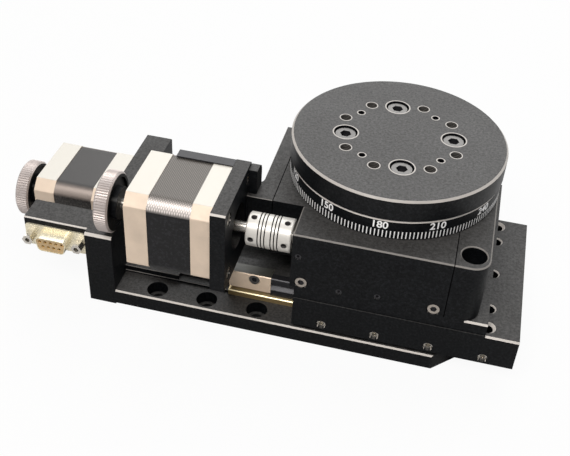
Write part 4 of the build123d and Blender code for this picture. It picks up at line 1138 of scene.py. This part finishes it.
# ---------- finishes on the solids
# the axis and side that a node's screw heads face, and the lighter finish that their outer faces are given as a
# painted highlight against the painted shade of their sockets
HEAD_FACE_HIGHLIGHTS = {
    "table_screws": (2, 1.0, "oxide_head_highlight"), "front_screws": (1, -1.0, "steel_head_highlight"),
    "stop_block_screws": (1, -1.0, "oxide_head_highlight"),
}


def paint_head_highlights(mesh, axis, sign, finish):
    """Gives the outermost flat faces of a node's screws a lighter finish as a painted highlight; their sockets
    keep the darker finish as painted shade.
    """
    mesh.materials.append(MATERIALS[finish])
    outermost = max(sign * vertex.co[axis] for vertex in mesh.vertices)
    for polygon in mesh.polygons:
        flush = sign * polygon.center[axis] > outermost - 0.05 * MM
        polygon.material_index = 1 if flush else 0


class STAGE_OT_finishes(bpy.types.Operator):
    """Gives every solid of the stage its finish"""

    bl_idname = "rotation_stage.finishes"
    bl_label = "Finishes"

    def execute(self, context):
        make_finishes(context.scene.stage_finish)
        for name, slot in record_slots().items():
            mesh = NODES[name].data
            mesh.materials.clear()
            mesh.materials.append(MATERIALS[OWN_FINISH.get(name, slot)])
        for name, (axis, sign, finish) in HEAD_FACE_HIGHLIGHTS.items():
            paint_head_highlights(NODES[name].data, axis, sign, finish)
        return {"FINISHED"}


# ---------- panel and registration
class STAGE_PT_pieces(bpy.types.Panel):
    """Lists the operators and settings of the stage"""

    bl_idname = "STAGE_PT_pieces"
    bl_label = "Rotation Stage"
    bl_space_type = "VIEW_3D"
    bl_region_type = "UI"
    bl_category = "Rotation Stage"

    def draw(self, context):
        for name in ORDER:
            self.layout.operator("rotation_stage." + name)
        for group in GROUPS:
            box = self.layout.box()
            settings = getattr(context.scene, group)
            for prop in settings.bl_rna.properties:
                if prop.identifier not in ("name", "rna_type"):
                    box.prop(settings, prop.identifier)


OPERATORS = (STAGE_OT_finishes, STAGE_OT_coupling, STAGE_OT_dial, STAGE_OT_knobs, STAGE_OT_lead_screw,
             STAGE_OT_motor_screws, STAGE_OT_studio)
CLASSES = tuple(GROUPS.values()) + OPERATORS + (STAGE_PT_pieces,)
ORDER = tuple(item.bl_idname.split(".")[1] for item in OPERATORS)


def register():
    for item in CLASSES:
        bpy.utils.register_class(item)
    for name, group in GROUPS.items():
        setattr(bpy.types.Scene, name, PointerProperty(type=group))


def unregister():
    for name in GROUPS:
        delattr(bpy.types.Scene, name)
    for item in reversed(CLASSES):
        bpy.utils.unregister_class(item)


def write_sizes():
    """Only imports json; it keeps and writes no sizes."""
    import json


def main():
    register()
    for name in ORDER:
        getattr(bpy.ops.rotation_stage, name)()
    write_sizes()


if __name__ == "__main__":
    main()
